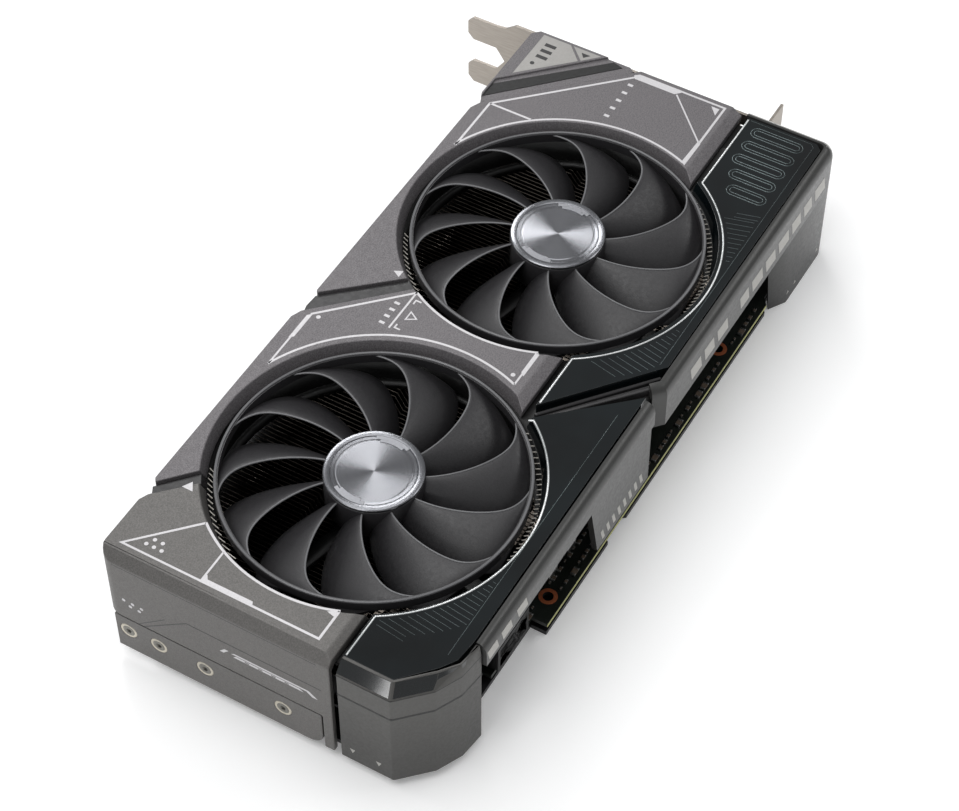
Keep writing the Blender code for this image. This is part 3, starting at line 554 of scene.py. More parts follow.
def turned(bm, profile, centre, sides, axis=TOP, index=0):
    """A profile of (radius, height) turned about an axis square to a face. Radius 0 closes it."""
    rings = []
    for radius, height in profile:
        outline = circle(centre, radius, sides) if radius else [centre]
        rings.append(outline_ring(bm, outline, height, axis))
    for here, there in zip(rings, rings[1:]):
        for step in range(sides):
            after = step + 1
            places = ((here, step), (here, after), (there, after), (there, step))
            corners = list(dict.fromkeys(ring[k % len(ring)] for ring, k in places))
            if len(corners) > 2:  # a point on the axis counts once
                bm.faces.new(corners).material_index = index


def tube(bm, path, radius, sides, index=0):
    """A round tube along points in space, with closed ends."""
    points = [Vector(p) for p in path]
    rings = []
    side = None
    for i, point in enumerate(points):
        ahead = (points[min(i + 1, len(points) - 1)] - points[max(i - 1, 0)]).normalized()
        if side is None:
            side = ahead.orthogonal().normalized()
        side = (side - ahead * side.dot(ahead)).normalized()
        other = ahead.cross(side)
        outline = circle((0.0, 0.0), radius, sides)
        rings.append([bm.verts.new(point + side * u + other * v) for u, v in outline])
    skin(bm, rings, index)


def eased_route(points, reach):
    """Cuts each inner corner of a flat route at this distance from it."""
    points = [Vector(p) for p in points]
    made = [points[0]]
    for before, corner, after in zip(points, points[1:], points[2:]):
        made += [corner + (other - corner).normalized() * reach for other in (before, after)]
    return made + [points[-1]]


# ---- fans
BLADES = 11
HUB = 15.6
RING = 48.2
RING_INSIDE = RING - 1.3
RING_LOW = -4.4
LIP_LOW = -1.0
BLADE_SWEEP = radians(22)
BLADE_CURL = radians(12)  # added sweep where a blade runs into the ring
BLADE_CHORD = radians(25.5)
BLADE_TOP = -1.3
BLADE_DROP = 9.6
BLADE_THICK = 0.95
BLADE_STEPS = (30, 20)  # outwards, and across the blade
FIRST_BLADE = radians(116)
RING_FOOT = [(RING_INSIDE, RING_LOW), (RING - 0.2, RING_LOW), (RING, RING_LOW + 0.2)]
RING_TOP = [(RING, LIP_LOW), (RING_INSIDE, LIP_LOW)]
LIP_OUTSIDE = [(RING - 0.1, LIP_LOW), (RING - 0.15, -0.6), (RING - 0.5, -0.4)]
LIP_INSIDE = [(RING - 0.85, -0.6), (RING - 0.9, LIP_LOW)]
HUB_INSIDE = [(1.9, -0.75), (1.9, -2.4), (HUB - 1.3, -2.4), (HUB - 1.3, -12.4)]
HUB_OUTSIDE = [(HUB - 0.2, -12.4), (HUB, -12.2), (HUB, -1.5), (HUB - 0.2, -1.0), (HUB - 0.7, -0.75)]


def blade(bm, centre_x, turn):
    """A swept blade with a rounded section, from the hub into the ring, and a pale bead along its top
    edge: a painted highlight.
    """
    across, along = BLADE_STEPS
    inner, outer = HUB - 0.7, RING_INSIDE + 0.4
    rows, lip = [], []
    for i in range(across + 1):
        radius = inner + (outer - inner) * (1 - (1 - i / across) ** 1.5)
        out = max(0.0, (radius - HUB) / (RING - HUB))
        upper, under = [], []
        for j in range(along + 1):
            s = 0.5 - 0.5 * cos(pi * j / along)
            lead = BLADE_SWEEP * out**1.12 + BLADE_CURL * (1 - 0.7 * s) * out**12
            angle = turn + lead - BLADE_CHORD * s
            half = BLADE_THICK / 2 * (1 - (2 * s - 1) ** 6) ** 0.5
            middle = BLADE_TOP - BLADE_THICK / 2 - BLADE_DROP * (0.55 * s + 0.45 * s**2.2)
            place = (centre_x + radius * cos(angle), radius * sin(angle))
            upper.append((*place, middle + half))
            under.append((*place, middle - half))
        rows.append([bm.verts.new(p) for p in upper + under[-2:0:-1]])
        lip.append((upper[0][0], upper[0][1], upper[0][2] + 0.1))
    skin(bm, rows)
    tube(bm, lip, 0.3, 8, 1)


def closed_ring(bm, profile, centre_x, sides=160, index=0):
    """A closed profile of (radius, height) turned about a fan's axis."""
    turned(bm, profile + profile[:1], (centre_x, 0.0), sides, index=index)


def fan_blades(number, centre_x):
    """The blades with their hub, and the ring round them with its lip, painted pale as a highlight."""
    bm = bmesh.new()
    for index in range(BLADES):
        blade(bm, centre_x, FIRST_BLADE + 2 * pi * index / BLADES)
    closed_ring(bm, RING_FOOT + RING_TOP, centre_x)
    closed_ring(bm, LIP_OUTSIDE + LIP_INSIDE, centre_x, index=1)
    closed_ring(bm, HUB_INSIDE + HUB_OUTSIDE, centre_x, 96)
    bmesh.ops.remove_doubles(bm, verts=bm.verts, dist=1e-5)
    name, rotor = f"fan_blades_{number}", f"fan_rotor_{number}"
    piece(name, bm, [BLADE, LIP_HIGHLIGHT], f"fan_{number}", [rotor], 35)


CAP_FACE = [(0.0, 0.02), (11.3, 0.02), (11.42, 0.02)]
CAP_GROOVE = [(11.5, 0.0), (11.7, -0.08), (11.95, -0.08), (12.1, 0.1)]
CAP_STEP = [(12.95, 0.14), (13.1, 0.02), (13.25, 0.02)]
CAP_RIM = [(13.45, 0.3), (13.7, 0.38), (14.6, 0.4), (15.1, 0.32), (15.4, 0.1)]
CAP_BACK = [(15.45, -0.35), (0.6, -0.35), (0.0, -0.35)]
CAP_MARK_SPANS = ((158, 208), (-32, 18))  # in degrees


def ring_sector(bm, centre_x, radii, turns, low, high):
    """Part of a flat ring, between two radii and two angles in degrees."""
    centre = (centre_x, 0.0)
    outside = arc(centre, radii[1], *turns)
    inside = arc(centre, radii[0], *turns)
    plate(bm, outside + inside[::-1], low, high)


def fan_cap(number, centre_x):
    """Spun disc with a raised rim; the rim carries two stepped marks."""
    body = f"fan_{number}"
    bm = bmesh.new()
    profile = CAP_FACE + CAP_GROOVE + CAP_STEP + CAP_RIM + CAP_BACK
    turned(bm, profile, (centre_x, 0.0), 128)
    replaced = [f"fan_cap_{number}"]
    piece(f"spun_cap_{number}", bm, SPUN[number - 1], body, replaced, 18)
    bm = bmesh.new()
    for start, end in CAP_MARK_SPANS:
        ring_sector(bm, centre_x, (12.15, 13.35), (start, end), 0.0, 0.24)
        ring_sector(bm, centre_x, (11.2, 12.2), (start + 6, end - 6), 0.0, 0.2)
    piece(f"cap_marks_{number}", bm, CAP_MARK, body)


COMB_SPANS = ((84, 142), (-66, -24))  # parts of the gap where fin tips show, in degrees
COMB_RADII = (48.9, 50.3)
COMB_LEVELS = (-6.6, -5.4)
COMB_PITCH = 1.7
COMB_THICK = 0.36


def fin_combs(number, centre_x):
    """Tips of the fins that show in the gap round a fan, coloured near white: a painted highlight."""
    bm = bmesh.new()
    inner, outer = COMB_RADII
    for start, end in COMB_SPANS:
        left, right = sorted(outer * cos(radians(angle)) for angle in (start, end))
        way = 1 if start > 0 else -1
        for x in row(left, COMB_PITCH, int((right - left) / COMB_PITCH) + 1):
            near, far = (inner**2 - x * x) ** 0.5, (outer**2 - x * x) ** 0.5
            foot = (centre_x + x, way * near, COMB_LEVELS[0])
            tip = (centre_x + x, way * far, COMB_LEVELS[1])
            tube(bm, [foot, tip], COMB_THICK / 2, 6)
    piece(f"fin_tips_{number}", bm, FIN_TIP_GLINT, smooth=50)


# ---- printed lines on the face, plain in place of lettering
LINE = 0.85


def line(bm, path, width=LINE, face=TOP, level=0.0, closed=False):
    sweep(bm, path, ribbon_section(width, level + SUNK, level + PROUD), face, closed)


def shape(bm, outline, face=TOP, level=0.0):
    plate(bm, outline, level + SUNK, level + PROUD_SHAPE, face)


def spot(bm, centre, radius, face=TOP, level=0.0):
    shape(bm, circle(centre, radius, 20), face, level)


def ticks(bm, start, step, count, size, face=TOP, level=0.0):
    """A row of small plain bars, in place of a word."""
    low = start[1] - size[1] / 2
    for middle in row(start[0], step, count):
        shape(bm, bar(middle - size[0] / 2, low, *size), face, level)


def bracket_panel_lines():
    bm = bmesh.new()
    line(bm, [(-59.8, 20.7), (-79.6, 20.7), (-79.6, 4.0)])
    shape(bm, [(-60.6, 20.0), (-49.6, 19.6), (-48.3, 21.2), (-60.0, 21.3)])
    line(bm, arc_between(0.0, (-49.2, 20.4), (-18.6, -49.9), 48))
    shape(bm, [(-80.0, 4.4), (-79.0, 4.4), (-77.2, 2.6), (-77.2, -12.6), (-78.6, -13.6), (-80.0, -12.0)])
    line(bm, [(-78.0, -12.8), (-41.9, -49.5), (-18.6, -49.5)])
    line(bm, [(-41.9, -33.6), (-41.9, -49.4)])
    line(bm, [(-77.4, 3.4), (-60.2, 20.5)], 0.6)
    shape(bm, [(-78.2, 19.3), (-74.8, 19.3), (-78.2, 16.2)])
    shape(bm, [(39.4, -34.6), (42.4, -34.6), (40.8, -37.4)])
    ticks(bm, (-73.6, -12.4), 4.3, 5, (1.1, 1.9))
    piece("lines_bracket_panel", bm, SILVER)


def middle_panel_lines():
    bm = bmesh.new()
    line(bm, [(48.2, 19.6), (63.0, 19.6)], 0.7)
    shape(bm, [(48.6, 19.0), (57.6, 19.0), (58.8, 20.4), (48.6, 20.4)])
    spot(bm, (59.8, 17.3), 0.75)
    line(bm, arc_between(0.0, (48.0, 19.6), (45.2, -26.0), 30))
    line(bm, arc_between(FAN_PITCH, (63.0, 19.6), (93.8, -50.8), 40))
    line(bm, [(45.0, -26.1), (62.4, -26.1)], 0.7)
    line(bm, [(45.2, -26.0), (69.8, -50.4)])
    shape(bm, [(69.4, -49.8), (80.4, -49.8), (81.6, -51.2), (70.8, -51.2)])
    line(bm, [(81.0, -50.7), (93.6, -50.7)], 0.7)
    spot(bm, (69.7, -47.6), 0.75)
    line(bm, [(53.2, -23.4), (56.8, -23.4), (55.0, -20.4)], 0.5, closed=True)
    line(bm, [(48.2, -22.6), (48.2, -24.6), (50.0, -24.6)], 0.6)
    line(bm, [(61.4, -22.6), (61.4, -24.6), (59.8, -24.6)], 0.6)
    ticks(bm, (52.2, -29.2), 3.1, 4, (1.0, 1.9))
    piece("lines_middle_panel", bm, SILVER)


def end_panel_lines():
    bm = bmesh.new()
    line(bm, [(162.4, 18.4), (173.4, 18.4), (173.4, -50.0), (155.2, -32.6)])
    line(bm, arc_between(FAN_PITCH, (162.2, 18.6), (155.0, -32.6), 36))
    line(bm, [(161.6, -22.1), (173.2, -22.1)], 0.7)
    tab = [(173.8, -4.0), (173.8, -22.4), (171.6, -22.4), (170.6, -21.6), (172.0, -20.6), (172.0, -5.0)]
    shape(bm, tab)
    shape(bm, [(162.2, 18.0), (164.8, 18.0), (164.2, 15.4)])
    for at in ((167.8, -39.2), (167.8, -42.0), (170.2, -38.0), (170.2, -40.7), (170.2, -43.4)):
        spot(bm, at, 0.65)
    shape(bm, [(144.3, -44.6), (147.4, -42.6), (147.4, -46.4)])
    piece("lines_end_panel", bm, SILVER)


def corner_label():
    """Pale film on the corner, with a cut line and plain shapes in place of its marks."""
    bm = bmesh.new()
    shape(bm, [(-81.2, -27.8), (-75.9, -33.0), (-81.2, -38.6)])
    shape(bm, [(-75.2, -33.8), (-58.9, -50.3), (-81.2, -50.3), (-81.2, -39.8)])
    piece("corner_label", bm, LABEL)
    bm = bmesh.new()
    level = PROUD_SHAPE  # the marks lie on the film
    shape(bm, [(-79.6, -31.2), (-77.6, -33.0), (-79.6, -34.6)], level=level)
    for x in (-77.8, -74.6, -71.4):
        shape(bm, bar(x, -47.6, 1.5, 4.2), level=level)
    spot(bm, (-66.6, -47.0), 0.8, level=level)
    piece("corner_marks", bm, TRIM)
    bm = bmesh.new()
    plate(bm, [(-81.6, -23.0), (-80.6, -19.2), (-44.6, -54.0), (-51.4, -54.0)], -0.95, -0.7)
    piece("corner_band", bm, INNER)


# ---- smoked panels
SPLIT_X = (32.6, 66.6)  # sloping edge between the panels, at its outer and inner ends
SPLIT_FALL = 28.0 / (SPLIT_X[1] - SPLIT_X[0])
SLOTS = ((-74.6, 33.2), (-67.6, 33.2), (-60.6, 33.2), (-53.6, 35.4), (-46.6, 38.0))  # x and lower end
SLOT_HIGH = 52.0
SLOT_RADII = (2.3, 1.2)
HATCH_LONG = 9.5  # length of the engraved strokes beside the fan mouths
HATCH_TOP = (53.6, 52.2)  # where the strokes end on each smoked panel
FINE_LINE = bead_section(0.24, Z_GLOSS - 0.05, Z_GLOSS + 0.08)


def gloss_channels():
    """Fine engraved slots on the panel beside the bracket, plain in place of lettering. Their edges are
    coloured lighter than the panel: a painted highlight.
    """
    edge = bead_section(0.32, Z_GLOSS - 0.05, Z_GLOSS + 0.14)
    widest = SLOT_RADII[0]
    bm = bmesh.new()
    for x, low in SLOTS:
        for radius in SLOT_RADII:
            upper = arc((x, SLOT_HIGH - widest), radius, 0, 180, 14)
            lower = arc((x, low + widest), radius, 180, 360, 14)
            sweep(bm, upper + lower, edge, closed=True)
    piece("gloss_channels", bm, GLOSS_EDGE_HIGHLIGHT, smooth=50)


def mouth_edge(x, centre_x, radius):
    """How far out the edge round a fan mouth lies at this x."""
    return max(0.0, radius**2 - (x - centre_x) ** 2) ** 0.5


def stroke(bm, x, low, top, lean):
    """A leaning stroke of the usual length, cut short where it would pass the top."""
    high = min(low + HATCH_LONG, top)
    if high > low + 0.8:
        sweep(bm, [(x, low), (x + lean * (high - low), high)], FINE_LINE)


def gloss_hatching():
    """Strokes beside the fan mouths, and a line along the outer edge of each smoked panel."""
    bm = bmesh.new()
    for x in row(-37.6, 1.9, 14):
        low = max(mouth_edge(x, 0.0, 55.0), 46.0 if x < -34 else 0.0)
        stroke(bm, x, low, HATCH_TOP[0], -0.28)
    for x in row(12.0, 1.9, 17):
        top = min(HATCH_TOP[0], 55.6 - (x - SPLIT_X[0]) * SPLIT_FALL)
        stroke(bm, x, mouth_edge(x, 0.0, 55.2), top, 0.2)
    for x in row(124.0, 1.75, 22):
        top = min(HATCH_TOP[1], HATCH_TOP[1] - (x - 159.5) * 1.35)
        stroke(bm, x, max(mouth_edge(x, FAN_PITCH, 54.0), 29.8), top, 0.12)
    sweep(bm, [(-79.0, 30.8), (-79.0, 53.4), (-77.6, 54.6), (33.0, 54.6)], FINE_LINE)
    sweep(bm, [(57.6, 52.8), (159.6, 52.8)], FINE_LINE)
    piece("gloss_hatching", bm, GLOSS_HATCH, smooth=50)


def gloss_rims():
    """Polished lines round the fan mouths and along the lower edges of the smoked panels, coloured near
    white: their own polish and, partly, a painted highlight.
    """
    rim = bead_section(0.75, Z_GLOSS - 0.3, Z_GLOSS + 0.2)
    bm = bmesh.new()
    mouth = arc_between(0.0, (-44.2, 30.2), (44.6, 29.8), 72)
    sweep(bm, [(-78.9, 29.9), (-44.6, 29.9)] + mouth + [(65.2, 29.8)], rim)
    mouth = arc_between(FAN_PITCH, (72.2, 31.6), (FAN_PITCH + 44.9, 28.0), 64)
    sweep(bm, [(73.0, 30.2)] + mouth + [(174.0, 27.9)], rim)
    piece("gloss_rims", bm, RIM_POLISH_AND_HIGHLIGHT, smooth=50)


def split_ribs():
    """Ribs along the sloping gap between the two smoked panels."""
    bm = bmesh.new()
    level = high_card("shroud_frame").z
    for shift, height in ((1.8, 2.4), (4.2, 1.6), (6.4, 2.4)):
        start = (SPLIT_X[0] + shift + 1.6, 56.4)
        end = (SPLIT_X[1] + shift * 0.62 + 0.6, 29.9)
        sweep(bm, [start, end], ribbon_section(1.1, level - 0.1, level + height, 0.4))
    piece("split_ribs", bm, TRIM)


# ---- end face
def end_creases():
    # dark lines on the end wall where it creases: painted shade in the creases
    bm = bmesh.new()
    line(bm, [(-41.4, -29.6), (-25.0, -16.4), (21.8, -16.4)], 0.4, END, X_END)
    line(bm, [(-43.4, -29.6), (-33.0, -20.2)], 0.3, END, X_END)
    line(bm, [(-50.2, -4.2), (20.8, -4.2)], 0.3, END, X_END)
    piece("end_creases", bm, TRIM)


def end_marks():
    """Dots and plain bars on the end wall, with dark ticks across one of them."""
    low, high = -21.9, -19.9
    stripe = [(-9.4, high - 0.7), (-8.4, high), (17.4, high), (20.4, low - 0.4), (18.6, low - 0.4)]
    stripe += [(16.6, high - 0.7)]
    bm = bmesh.new()
    for at in ((-47.8, -20.4), (-44.6, -20.6), (-45.6, -22.4), (-41.4, -20.8), (-42.4, -22.6)):
        spot(bm, at, 0.62, END, X_END)
    shape(bm, bar(-13.6, low, 1.4, high - low, 1.8), END, X_END)
    shape(bm, stripe, END, X_END)
    shape(bm, [(-8.8, low), (-7.8, high - 1.1), (14.2, high - 1.1), (15.6, low)], END, X_END)
    piece("end_marks", bm, SILVER)
    bm = bmesh.new()
    ticks(bm, (-4.0, -21.5), 4.6, 4, (1.6, 0.45), END, X_END + PROUD_SHAPE - PROUD)
    piece("end_ticks", bm, END_COAT)


def end_washer(number):
    """Cupped washer under a screw of the end wall."""
    low, high = low_card(f"end_screw_{number}"), high_card(f"end_screw_{number}")
    centre = ((low.y + high.y) / 2, (low.z + high.z) / 2)
    face = X_END - 0.02
    seat = [(1.75, face - 0.5), (2.9, face - 0.5), (2.95, face - 0.12)]
    cup = [(2.8, face), (2.2, face - 0.05), (1.8, face - 0.25), (1.75, face - 0.5)]
    bm = bmesh.new()
    turned(bm, seat + cup, centre, 40, END)
    piece(f"end_washer_{number}", bm, WASHER, smooth=40)


# ---- far corner
CORNER_FOOT = [(X_END, 27.4), (X_END, 45.4), (170.0, 54.6), (161.6, 58.7), (152.4, 59.9)]
CORNER_HEAD = [(175.3, 27.4), (175.3, 44.2), (166.0, 53.6), (160.6, 57.8), (152.4, 59.0)]
CHAMFER_LEVELS = (-4.2, -0.1)
CHAMFER_SPANS = ((0.1, 0.93),) * 5 + ((0.4, 0.93), (0.6, 0.93), (0.82, 0.93))  # shares of its height


def corner_groove():
    """Dark strips round the corner block, under its chamfer: painted shade in place of grooves."""
    bm = bmesh.new()
    for level, width in ((-13.4, 0.8), (-4.3, 0.3)):
        section = [(-0.1, level - width), (PROUD, level - width), (PROUD, level), (-0.1, level)]
        sweep(bm, CORNER_FOOT[::-1], section)
    piece("corner_groove", bm, INNER)


def corner_chamfer():
    """Glossy strip round the block's chamfer, narrowing towards the rail."""
    low, high = CHAMFER_LEVELS
    feet, heads = eased_route(CORNER_FOOT, 0.9), eased_route(CORNER_HEAD, 0.9)
    bm = bmesh.new()
    rings = []
    for foot, head, span in zip(feet, heads, CHAMFER_SPANS):
        outward = Vector((*(foot - head), 0.0)).normalized()
        normal = (outward + Vector((0, 0, 1))).normalized()
        bottom = Vector((*foot, low))
        slope = Vector((*head, high)) - bottom
        places = [(share, PROUD + 0.02) for share in span] + [(share, -0.1) for share in span[::-1]]
        rings.append([bm.verts.new(bottom + slope * share + normal * out) for share, out in places])
    skin(bm, rings)
    piece("corner_chamfer", bm, CHAMFER, smooth=40)


def corner_triangles():
    bm = bmesh.new()
    for y in (31.5, 40.5):
        shape(bm, [(y - 0.9, -40.0), (y + 0.9, -40.0), (y, -41.9)], END, X_END)
    piece("corner_triangles", bm, SIDE_INK)


# ---- side rails
RAIL_TOP = 4.2  # height of the rails' rounded upper edge
RAIL_WIDE = 3.4
RAIL_BEND = 5.2  # radius of the bend at the bracket
BEND_CENTRE = (-78.6, Y_SIDE - RAIL_BEND)
LEG_THICK = 2.0


def rail_round(start, end, proud=0.0, steps=10):
    """Points on a rail's rounded upper edge, from 0 degrees at the outside to 90 at the top."""
    made = []
    for i in range(steps + 1):
        angle = radians(start + (end - start) * i / steps)
        offset = (RAIL_WIDE + proud) * cos(angle) - RAIL_WIDE
        made.append((offset, (RAIL_TOP + proud) * sin(angle) - RAIL_TOP))
    return made


def rail_section(low):
    """Upright wall with a rounded upper outer edge: offsets run inwards from the outside."""
    return [(0.0, low)] + rail_round(0, 90) + [(-RAIL_WIDE, low)]


def bracket_leg(inner):
    """Outline of the leg at the bracket, which ends near this x."""
    inside = Y_SIDE - LEG_THICK
    bend = arc(BEND_CENTRE, RAIL_BEND, 155, 90, 10)
    toe = [(inner - 3.0, Y_SIDE), (inner + 3.2, 57.4), (inner + 2.0, 56.4), (inner - 3.4, inside)]
    return bend + toe + [(BEND_CENTRE[0], inside), (-81.2, 56.9)]


def rail_bracket_side():
    """Rail and leg beside the bracket, finer than the CAD's: the upper edge is a true round."""
    low = low_card("shroud_frame").z - 1.6
    bend = arc(BEND_CENTRE, RAIL_BEND, 180, 90, 14)
    bm = bmesh.new()
    sweep(bm, [(-83.8, 28.6)] + bend + [(40.5, Y_SIDE), (44.2, 57.9)], rail_section(low))
    loft(bm, [(Z_LEG, bracket_leg(-50.2)), (low, bracket_leg(-44.4))])
    piece("rail_bracket_side", bm, RAIL, replaces=["side_rail_bracket"], smooth=32)


def bracket_strip():
    """Bright steel strip along the rail's round at the bracket: a painted highlight where the round
    catches the light.
    """
    bend = arc(BEND_CENTRE, RAIL_BEND, 180, 122, 10)
    section = rail_round(34, 74, 0.06, 5) + rail_round(74, 34, -0.3, 5)
    bm = bmesh.new()
    sweep(bm, [(-83.8, 28.8)] + bend, section)
    piece("bracket_strip", bm, STEEL, smooth=40)


def rail_end_side():
    """Rail towards the far end, with its middle leg."""
    low, foot = -9.6, -33.4
    leg = [(50.4, low), (89.0, low), (83.8, foot), (50.4, foot)]
    bm = bmesh.new()
    sweep(bm, [(48.4, Y_SIDE), (152.0, Y_SIDE)], rail_section(low))
    plate(bm, leg, Y_SIDE - LEG_THICK, Y_SIDE, SIDE)
    piece("rail_end_side", bm, RAIL, replaces=["side_rail_end"], smooth=32)


BAR_LENGTHS = (7.5, 6.0, 6.5, 7.5, 7.0, 7.5, 6.0, 0, 7.0, 6.5, 7.0)  # 0 leaves a space
BAR_SPACE = 4.0
BAR_GAP = 2.6


def rail_marks():
    """Plain bars along the rails, in place of their lettering."""
    bm = bmesh.new()
    x = -76.0
    for length in BAR_LENGTHS:
        if length:
            shape(bm, bar(x, -14.4, length, 6.2, 1.6), SIDE, Y_SIDE)
        x += (length or BAR_SPACE) + BAR_GAP
    for x in (128.0, 137.0, 145.0):
        shape(bm, bar(x, -8.0, 5.4, 4.6, 1.2), SIDE, Y_SIDE)
    for x in (-77.5, -60.0, -54.5):
        shape(bm, [(x, -45.8), (x + 1.6, -45.8), (x + 0.8, -44.4)], SIDE, Y_SIDE)
    for x in row(54.0, 3.6, 8):
        shape(bm, bar(x, -31.0, 1.5, 5.0, 1.5), SIDE, Y_SIDE)
    piece("rail_marks", bm, SIDE_INK)


# ---- heat sink
FIN_PITCH = 1.6
FIN_THICK = 0.24
FIN_BASE = 1.2
Z_FINS = (-35.4, -19.2)
FIN_STEP_Y = (-18.5, -13.5)  # where a fin steps sideways
FIN_STEP = 3.6
NOTCH_X = (103.4, 141.6)  # the fins and their base are cut back here, for the power socket
NOTCH_Y = 32.6
TAB_PITCH = 3.6


def fin_section():
    """Section of a fin, with a tapered tip."""
    half, low, high = FIN_THICK / 2, Z_FINS[0] + FIN_BASE / 2, Z_FINS[1]
    tip = [(half, high - 0.1), (half - 0.08, high), (0.08 - half, high), (-half, high - 0.1)]
    return [(-half, low), (half, low)] + tip


def fin(bm, x, near, far):
    """One fin, with folded tabs that reach to the next."""
    ends = x + FIN_STEP
    last = NOTCH_Y if NOTCH_X[0] < ends < NOTCH_X[1] else far
    route = [(x, near), (x, FIN_STEP_Y[0]), (ends, FIN_STEP_Y[1]), (ends, last)]
    # the tip faces and the tabs take the lighter second finish, a painted highlight
    sweep(bm, route, fin_section(), edge=(2, 3, 4))
    for y in row(16.0, TAB_PITCH, 9):
        if y + 2.4 < last:
            low = (ends, y, Z_FINS[1] - 0.35)
            high = (ends + FIN_PITCH * 0.72, y + 2.2, Z_FINS[1] - 0.02)
            eased_box(bm, low, high, 0.1, 1)


def fin_stack():
    """Thin upright fins on a common base."""
    low, high = low_card("fin_stack"), high_card("fin_stack")
    bm = bmesh.new()
    count = int((high.x - low.x - FIN_STEP - 0.6) / FIN_PITCH) + 1
    for x in row(low.x + 0.3, FIN_PITCH, count):
        fin(bm, x, low.y, high.y)
    notch = [(NOTCH_X[1], high.y), (NOTCH_X[1], NOTCH_Y), (NOTCH_X[0], NOTCH_Y), (NOTCH_X[0], high.y)]
    base = [(low.x, low.y), (high.x, low.y), (high.x, high.y)] + notch + [(low.x, high.y)]
    plate(bm, base, Z_FINS[0], Z_FINS[0] + FIN_BASE)
    piece("heat_sink_fins", bm, [FIN, FIN_TOP_HIGHLIGHT], replaces=["fin_stack"])


# ---- board
BOARD_LOW, BOARD_HIGH = low_card("circuit_board"), high_card("circuit_board")
EDGE_HOLES = ((-17.8, 52.6), (99.6, 52.9))
INNER_HOLES = ((-73.6, -56.3), (126.2, -51.7))
PAD_START = -27.0
PAD_COUNT = 82
PAD_NOTCH = (11, 12, 13)  # the pads left out at the connector's notch
PART_ROWS = ((54.6, 60.0, 96.0), (50.6, 62.0, 110.0), (55.2, -40.0, 40.0))  # y, first x, last x
PART_LENGTHS = (1.0, 1.6, 2.0, 3.2)
CLEAR_OF_HOLE = 4.6


def board_edge():
    middle = (BOARD_LOW.z + BOARD_HIGH.z) / 2
    bm = bmesh.new()
    line(bm, [(-43.8, middle), (109.0, middle)], 1.1, SIDE, BOARD_HIGH.y)
    piece("board_edge", bm, BOARD_EDGE)


def board_rings():
    """Bare copper round the screw holes."""
    low, high = BOARD_HIGH.z - 0.02, BOARD_HIGH.z + 0.06
    bm = bmesh.new()
    for centre in EDGE_HOLES + INNER_HOLES:
        turned(bm, [(1.72, low), (1.72, high), (3.0, high), (3.05, low)], centre, 40)
    piece("board_rings", bm, RING_COPPER)


def board_pads():
    """Gold pads of the edge connector."""
    bm = bmesh.new()
    for index in range(PAD_COUNT):
        if index not in PAD_NOTCH:
            shape(bm, bar(PAD_START + index, BOARD_LOW.y + 0.5, 0.68, 4.7), level=BOARD_HIGH.z)
    piece("board_pads", bm, GOLD)


def small_part(bm, x, y, length):
    """A chip resistor or capacitor: a ceramic body between two soldered ends."""
    z = BOARD_HIGH.z
    far = y + length * 0.55
    eased_box(bm, (x, y, z), (x + length * 0.22, far, z + 0.62), 0.08, 1)
    eased_box(bm, (x + length * 0.78, y, z), (x + length, far, z + 0.62), 0.08, 1)
    eased_box(bm, (x + length * 0.2, y, z), (x + length * 0.8, far, z + 0.6), 0.06)


def small_parts():
    """Rows of small parts near the board's edge, clear of its screw holes."""
    rng = Random(11)
    bm = bmesh.new()
    for y, x, last in PART_ROWS:
        while x < last:
            length = rng.choice(PART_LENGTHS)
            if all(hypot(x - hole[0], y - hole[1]) > CLEAR_OF_HOLE for hole in EDGE_HOLES):
                small_part(bm, x, y, length)
            x += length + rng.uniform(0.7, 2.4)
    piece("board_small_parts", bm, [CERAMIC, SOLDER])


def chokes():
    """Moulded chokes with a soldered foot, and flat chips between them."""
    z = BOARD_HIGH.z
    bm = bmesh.new()
    for x in (-36.0, -10.0, 4.0, 76.0, 88.0):
        eased_box(bm, (x, 42.0, z), (x + 8.0, 50.0, z + 5.2), 0.8)
        eased_box(bm, (x + 1.2, 50.0, z), (x + 6.8, 50.5, z + 2.4), 0.2, 1)
    for x in (-24.0, 16.0, 28.0, 40.0):
        eased_box(bm, (x, 44.0, z), (x + 5.0, 49.0, z + 1.2), 0.2)
    piece("board_chokes", bm, [CHIP, SOLDER])


# ---- bracket side
CONTACTS = 9


def port_tongue(name):
    """Tongue inside a display connector, with its contacts."""
    low, high = low_card(name), high_card(name)
    middle = (low.z + high.z) / 2
    pitch = (high.y - low.y - 7.4) / (CONTACTS - 1)
    bm = bmesh.new()
    corner = (low.x + 1.4, low.y + 2.6, middle - 0.6)
    eased_box(bm, corner, (low.x + 7.0, high.y - 2.6, middle + 0.5), 0.2)
    for y in row(low.y + 3.4, pitch, CONTACTS):
        eased_box(bm, (low.x + 1.6, y, middle + 0.45), (low.x + 6.4, y + 0.5, middle + 0.62), 0.05, 1)
    piece(f"{name}_tongue", bm, [TONGUE, GOLD])


# ---- stage
FLOOR_HALF = 3.0  # from here on, sizes are in metres
SOFTBOXES = {  # azimuth, elevation, distance, width and height, power
    "overhead": (-60, 78, 1.5, (1.5, 1.5), 12.8),
    "power_side": (140, 42, 1.5, (1.0, 0.4), 3.2),
    "end_side": (4, 30, 1.38, (0.3, 0.16), 1.1),
    "end_fill": (-20, 60, 1.5, (0.9, 0.5), 3.0),
    "bus_side": (-100, 42, 1.5, (1.1, 0.6), 2.6),
    "cap_glint": (-138, 42, 1.5, (0.44, 0.3), 4.0),
}
LIGHT_TARGET = Vector((0.02, 0.0, 0.03))
CAMERA_PLACE = Vector((0.471675, 0.278995, 0.650874))
CAMERA_TARGET = Vector((0.0218965, 0.0183322, 0.030))
LENS = 96.166
SENSOR = 36.0


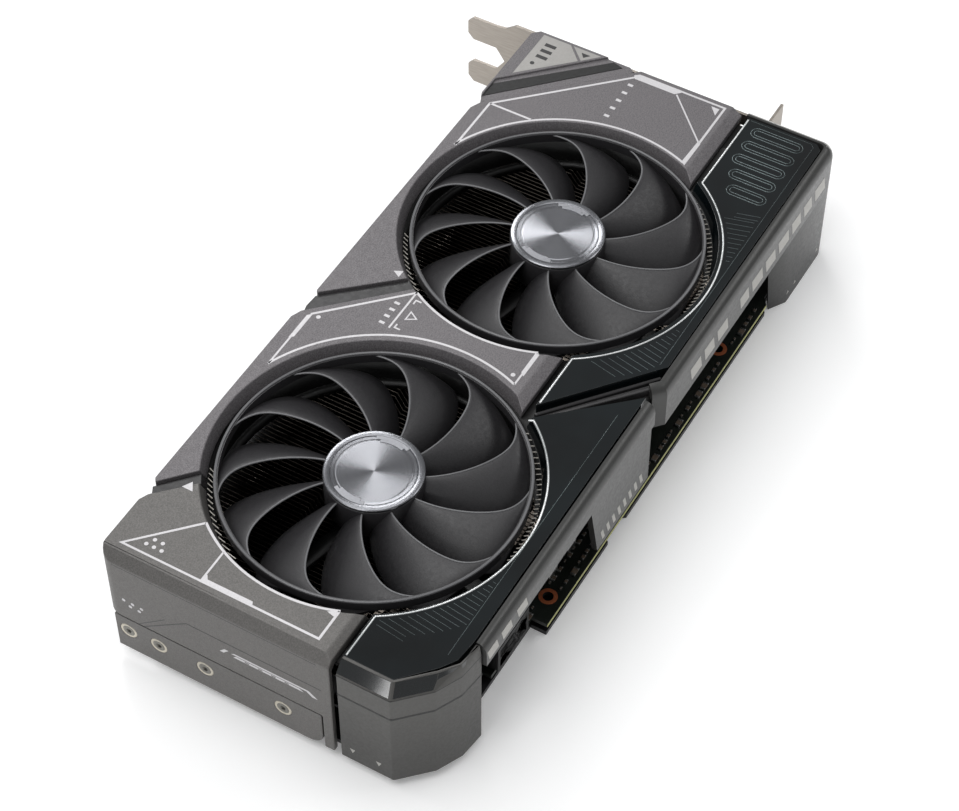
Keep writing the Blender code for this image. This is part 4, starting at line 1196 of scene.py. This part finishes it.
def floor_paper():
    nodes = Nodes("floor_paper")
    nodes.sockets({"Roughness": 0.9, "Specular IOR Level": 0.1})
    nodes.sockets({"Emission Color": (1, 1, 1, 1), "Emission Strength": 0.15})
    tone = nodes.blend(nodes.noise(300.0), srgb(250, 250, 250), srgb(253, 253, 253))
    nodes.feed("Base Color", tone)
    return nodes.material


def stage():
    """Plain pale floor under the card."""
    mesh = bpy.data.meshes.new("studio_floor")
    corners = bar(-FLOOR_HALF, -FLOOR_HALF, 2 * FLOOR_HALF, 2 * FLOOR_HALF)
    mesh.from_pydata([(x, y, 0) for x, y in corners], [], [(0, 1, 2, 3)])
    mesh.materials.append(floor_paper())
    floor_obj = add_object("studio_floor", mesh)


def softbox(name, azimuth, elevation, distance, size, power):
    data = bpy.data.lights.new(name, "AREA")
    data.shape = "RECTANGLE"
    data.size, data.size_y = size
    data.energy = power
    turn, rise = radians(azimuth), radians(elevation)
    way = Vector((cos(turn) * cos(rise), sin(turn) * cos(rise), sin(rise)))
    lamp = add_object(name, data)
    lamp.location = LIGHT_TARGET + way * distance
    lamp.rotation_euler = way.to_track_quat("Z", "Y").to_euler()


def lighting():
    """Soft boxes round the card under a faint, even sky."""
    world = bpy.context.scene.world or bpy.data.worlds.new("studio")
    bpy.context.scene.world = world
    world.use_nodes = True
    background = world.node_tree.nodes["Background"]
    background.inputs["Color"].default_value = (0.97, 0.985, 1.0, 1.0)
    background.inputs["Strength"].default_value = 0.3
    for name, settings in SOFTBOXES.items():
        softbox(name, *settings)
    bpy.context.scene.view_settings.view_transform = "Standard"


def camera():
    data = bpy.data.cameras.new("camera")
    data.sensor_width = SENSOR
    data.lens = LENS
    data.clip_start = 0.01
    obj = add_object("camera", data)
    obj.location = CAMERA_PLACE
    obj.rotation_euler = (CAMERA_TARGET - CAMERA_PLACE).to_track_quat("-Z", "Y").to_euler()
    bpy.context.scene.camera = obj


def detail_card():
    """Adds every piece to the carried-over nodes."""
    for number, centre_x in enumerate(FAN_X, 1):
        fan_blades(number, centre_x)
        fan_cap(number, centre_x)
        fin_combs(number, centre_x)
    bracket_panel_lines()
    middle_panel_lines()
    end_panel_lines()
    corner_label()
    gloss_channels()
    gloss_hatching()
    gloss_rims()
    split_ribs()
    end_creases()
    end_marks()
    for number in range(1, 5):
        end_washer(number)
    corner_groove()
    corner_chamfer()
    corner_triangles()
    rail_bracket_side()
    bracket_strip()
    rail_end_side()
    rail_marks()
    fin_stack()
    board_edge()
    board_rings()
    board_pads()
    small_parts()
    chokes()
    for name in NODE_FINISH[SHELL]:
        port_tongue(name)


for startup in [o for o in bpy.data.objects if o.name in ("Cube", "Light", "Camera")]:
    bpy.data.objects.remove(startup, do_unlink=True)
camera()
lighting()
stage()
dress_nodes()
detail_card()
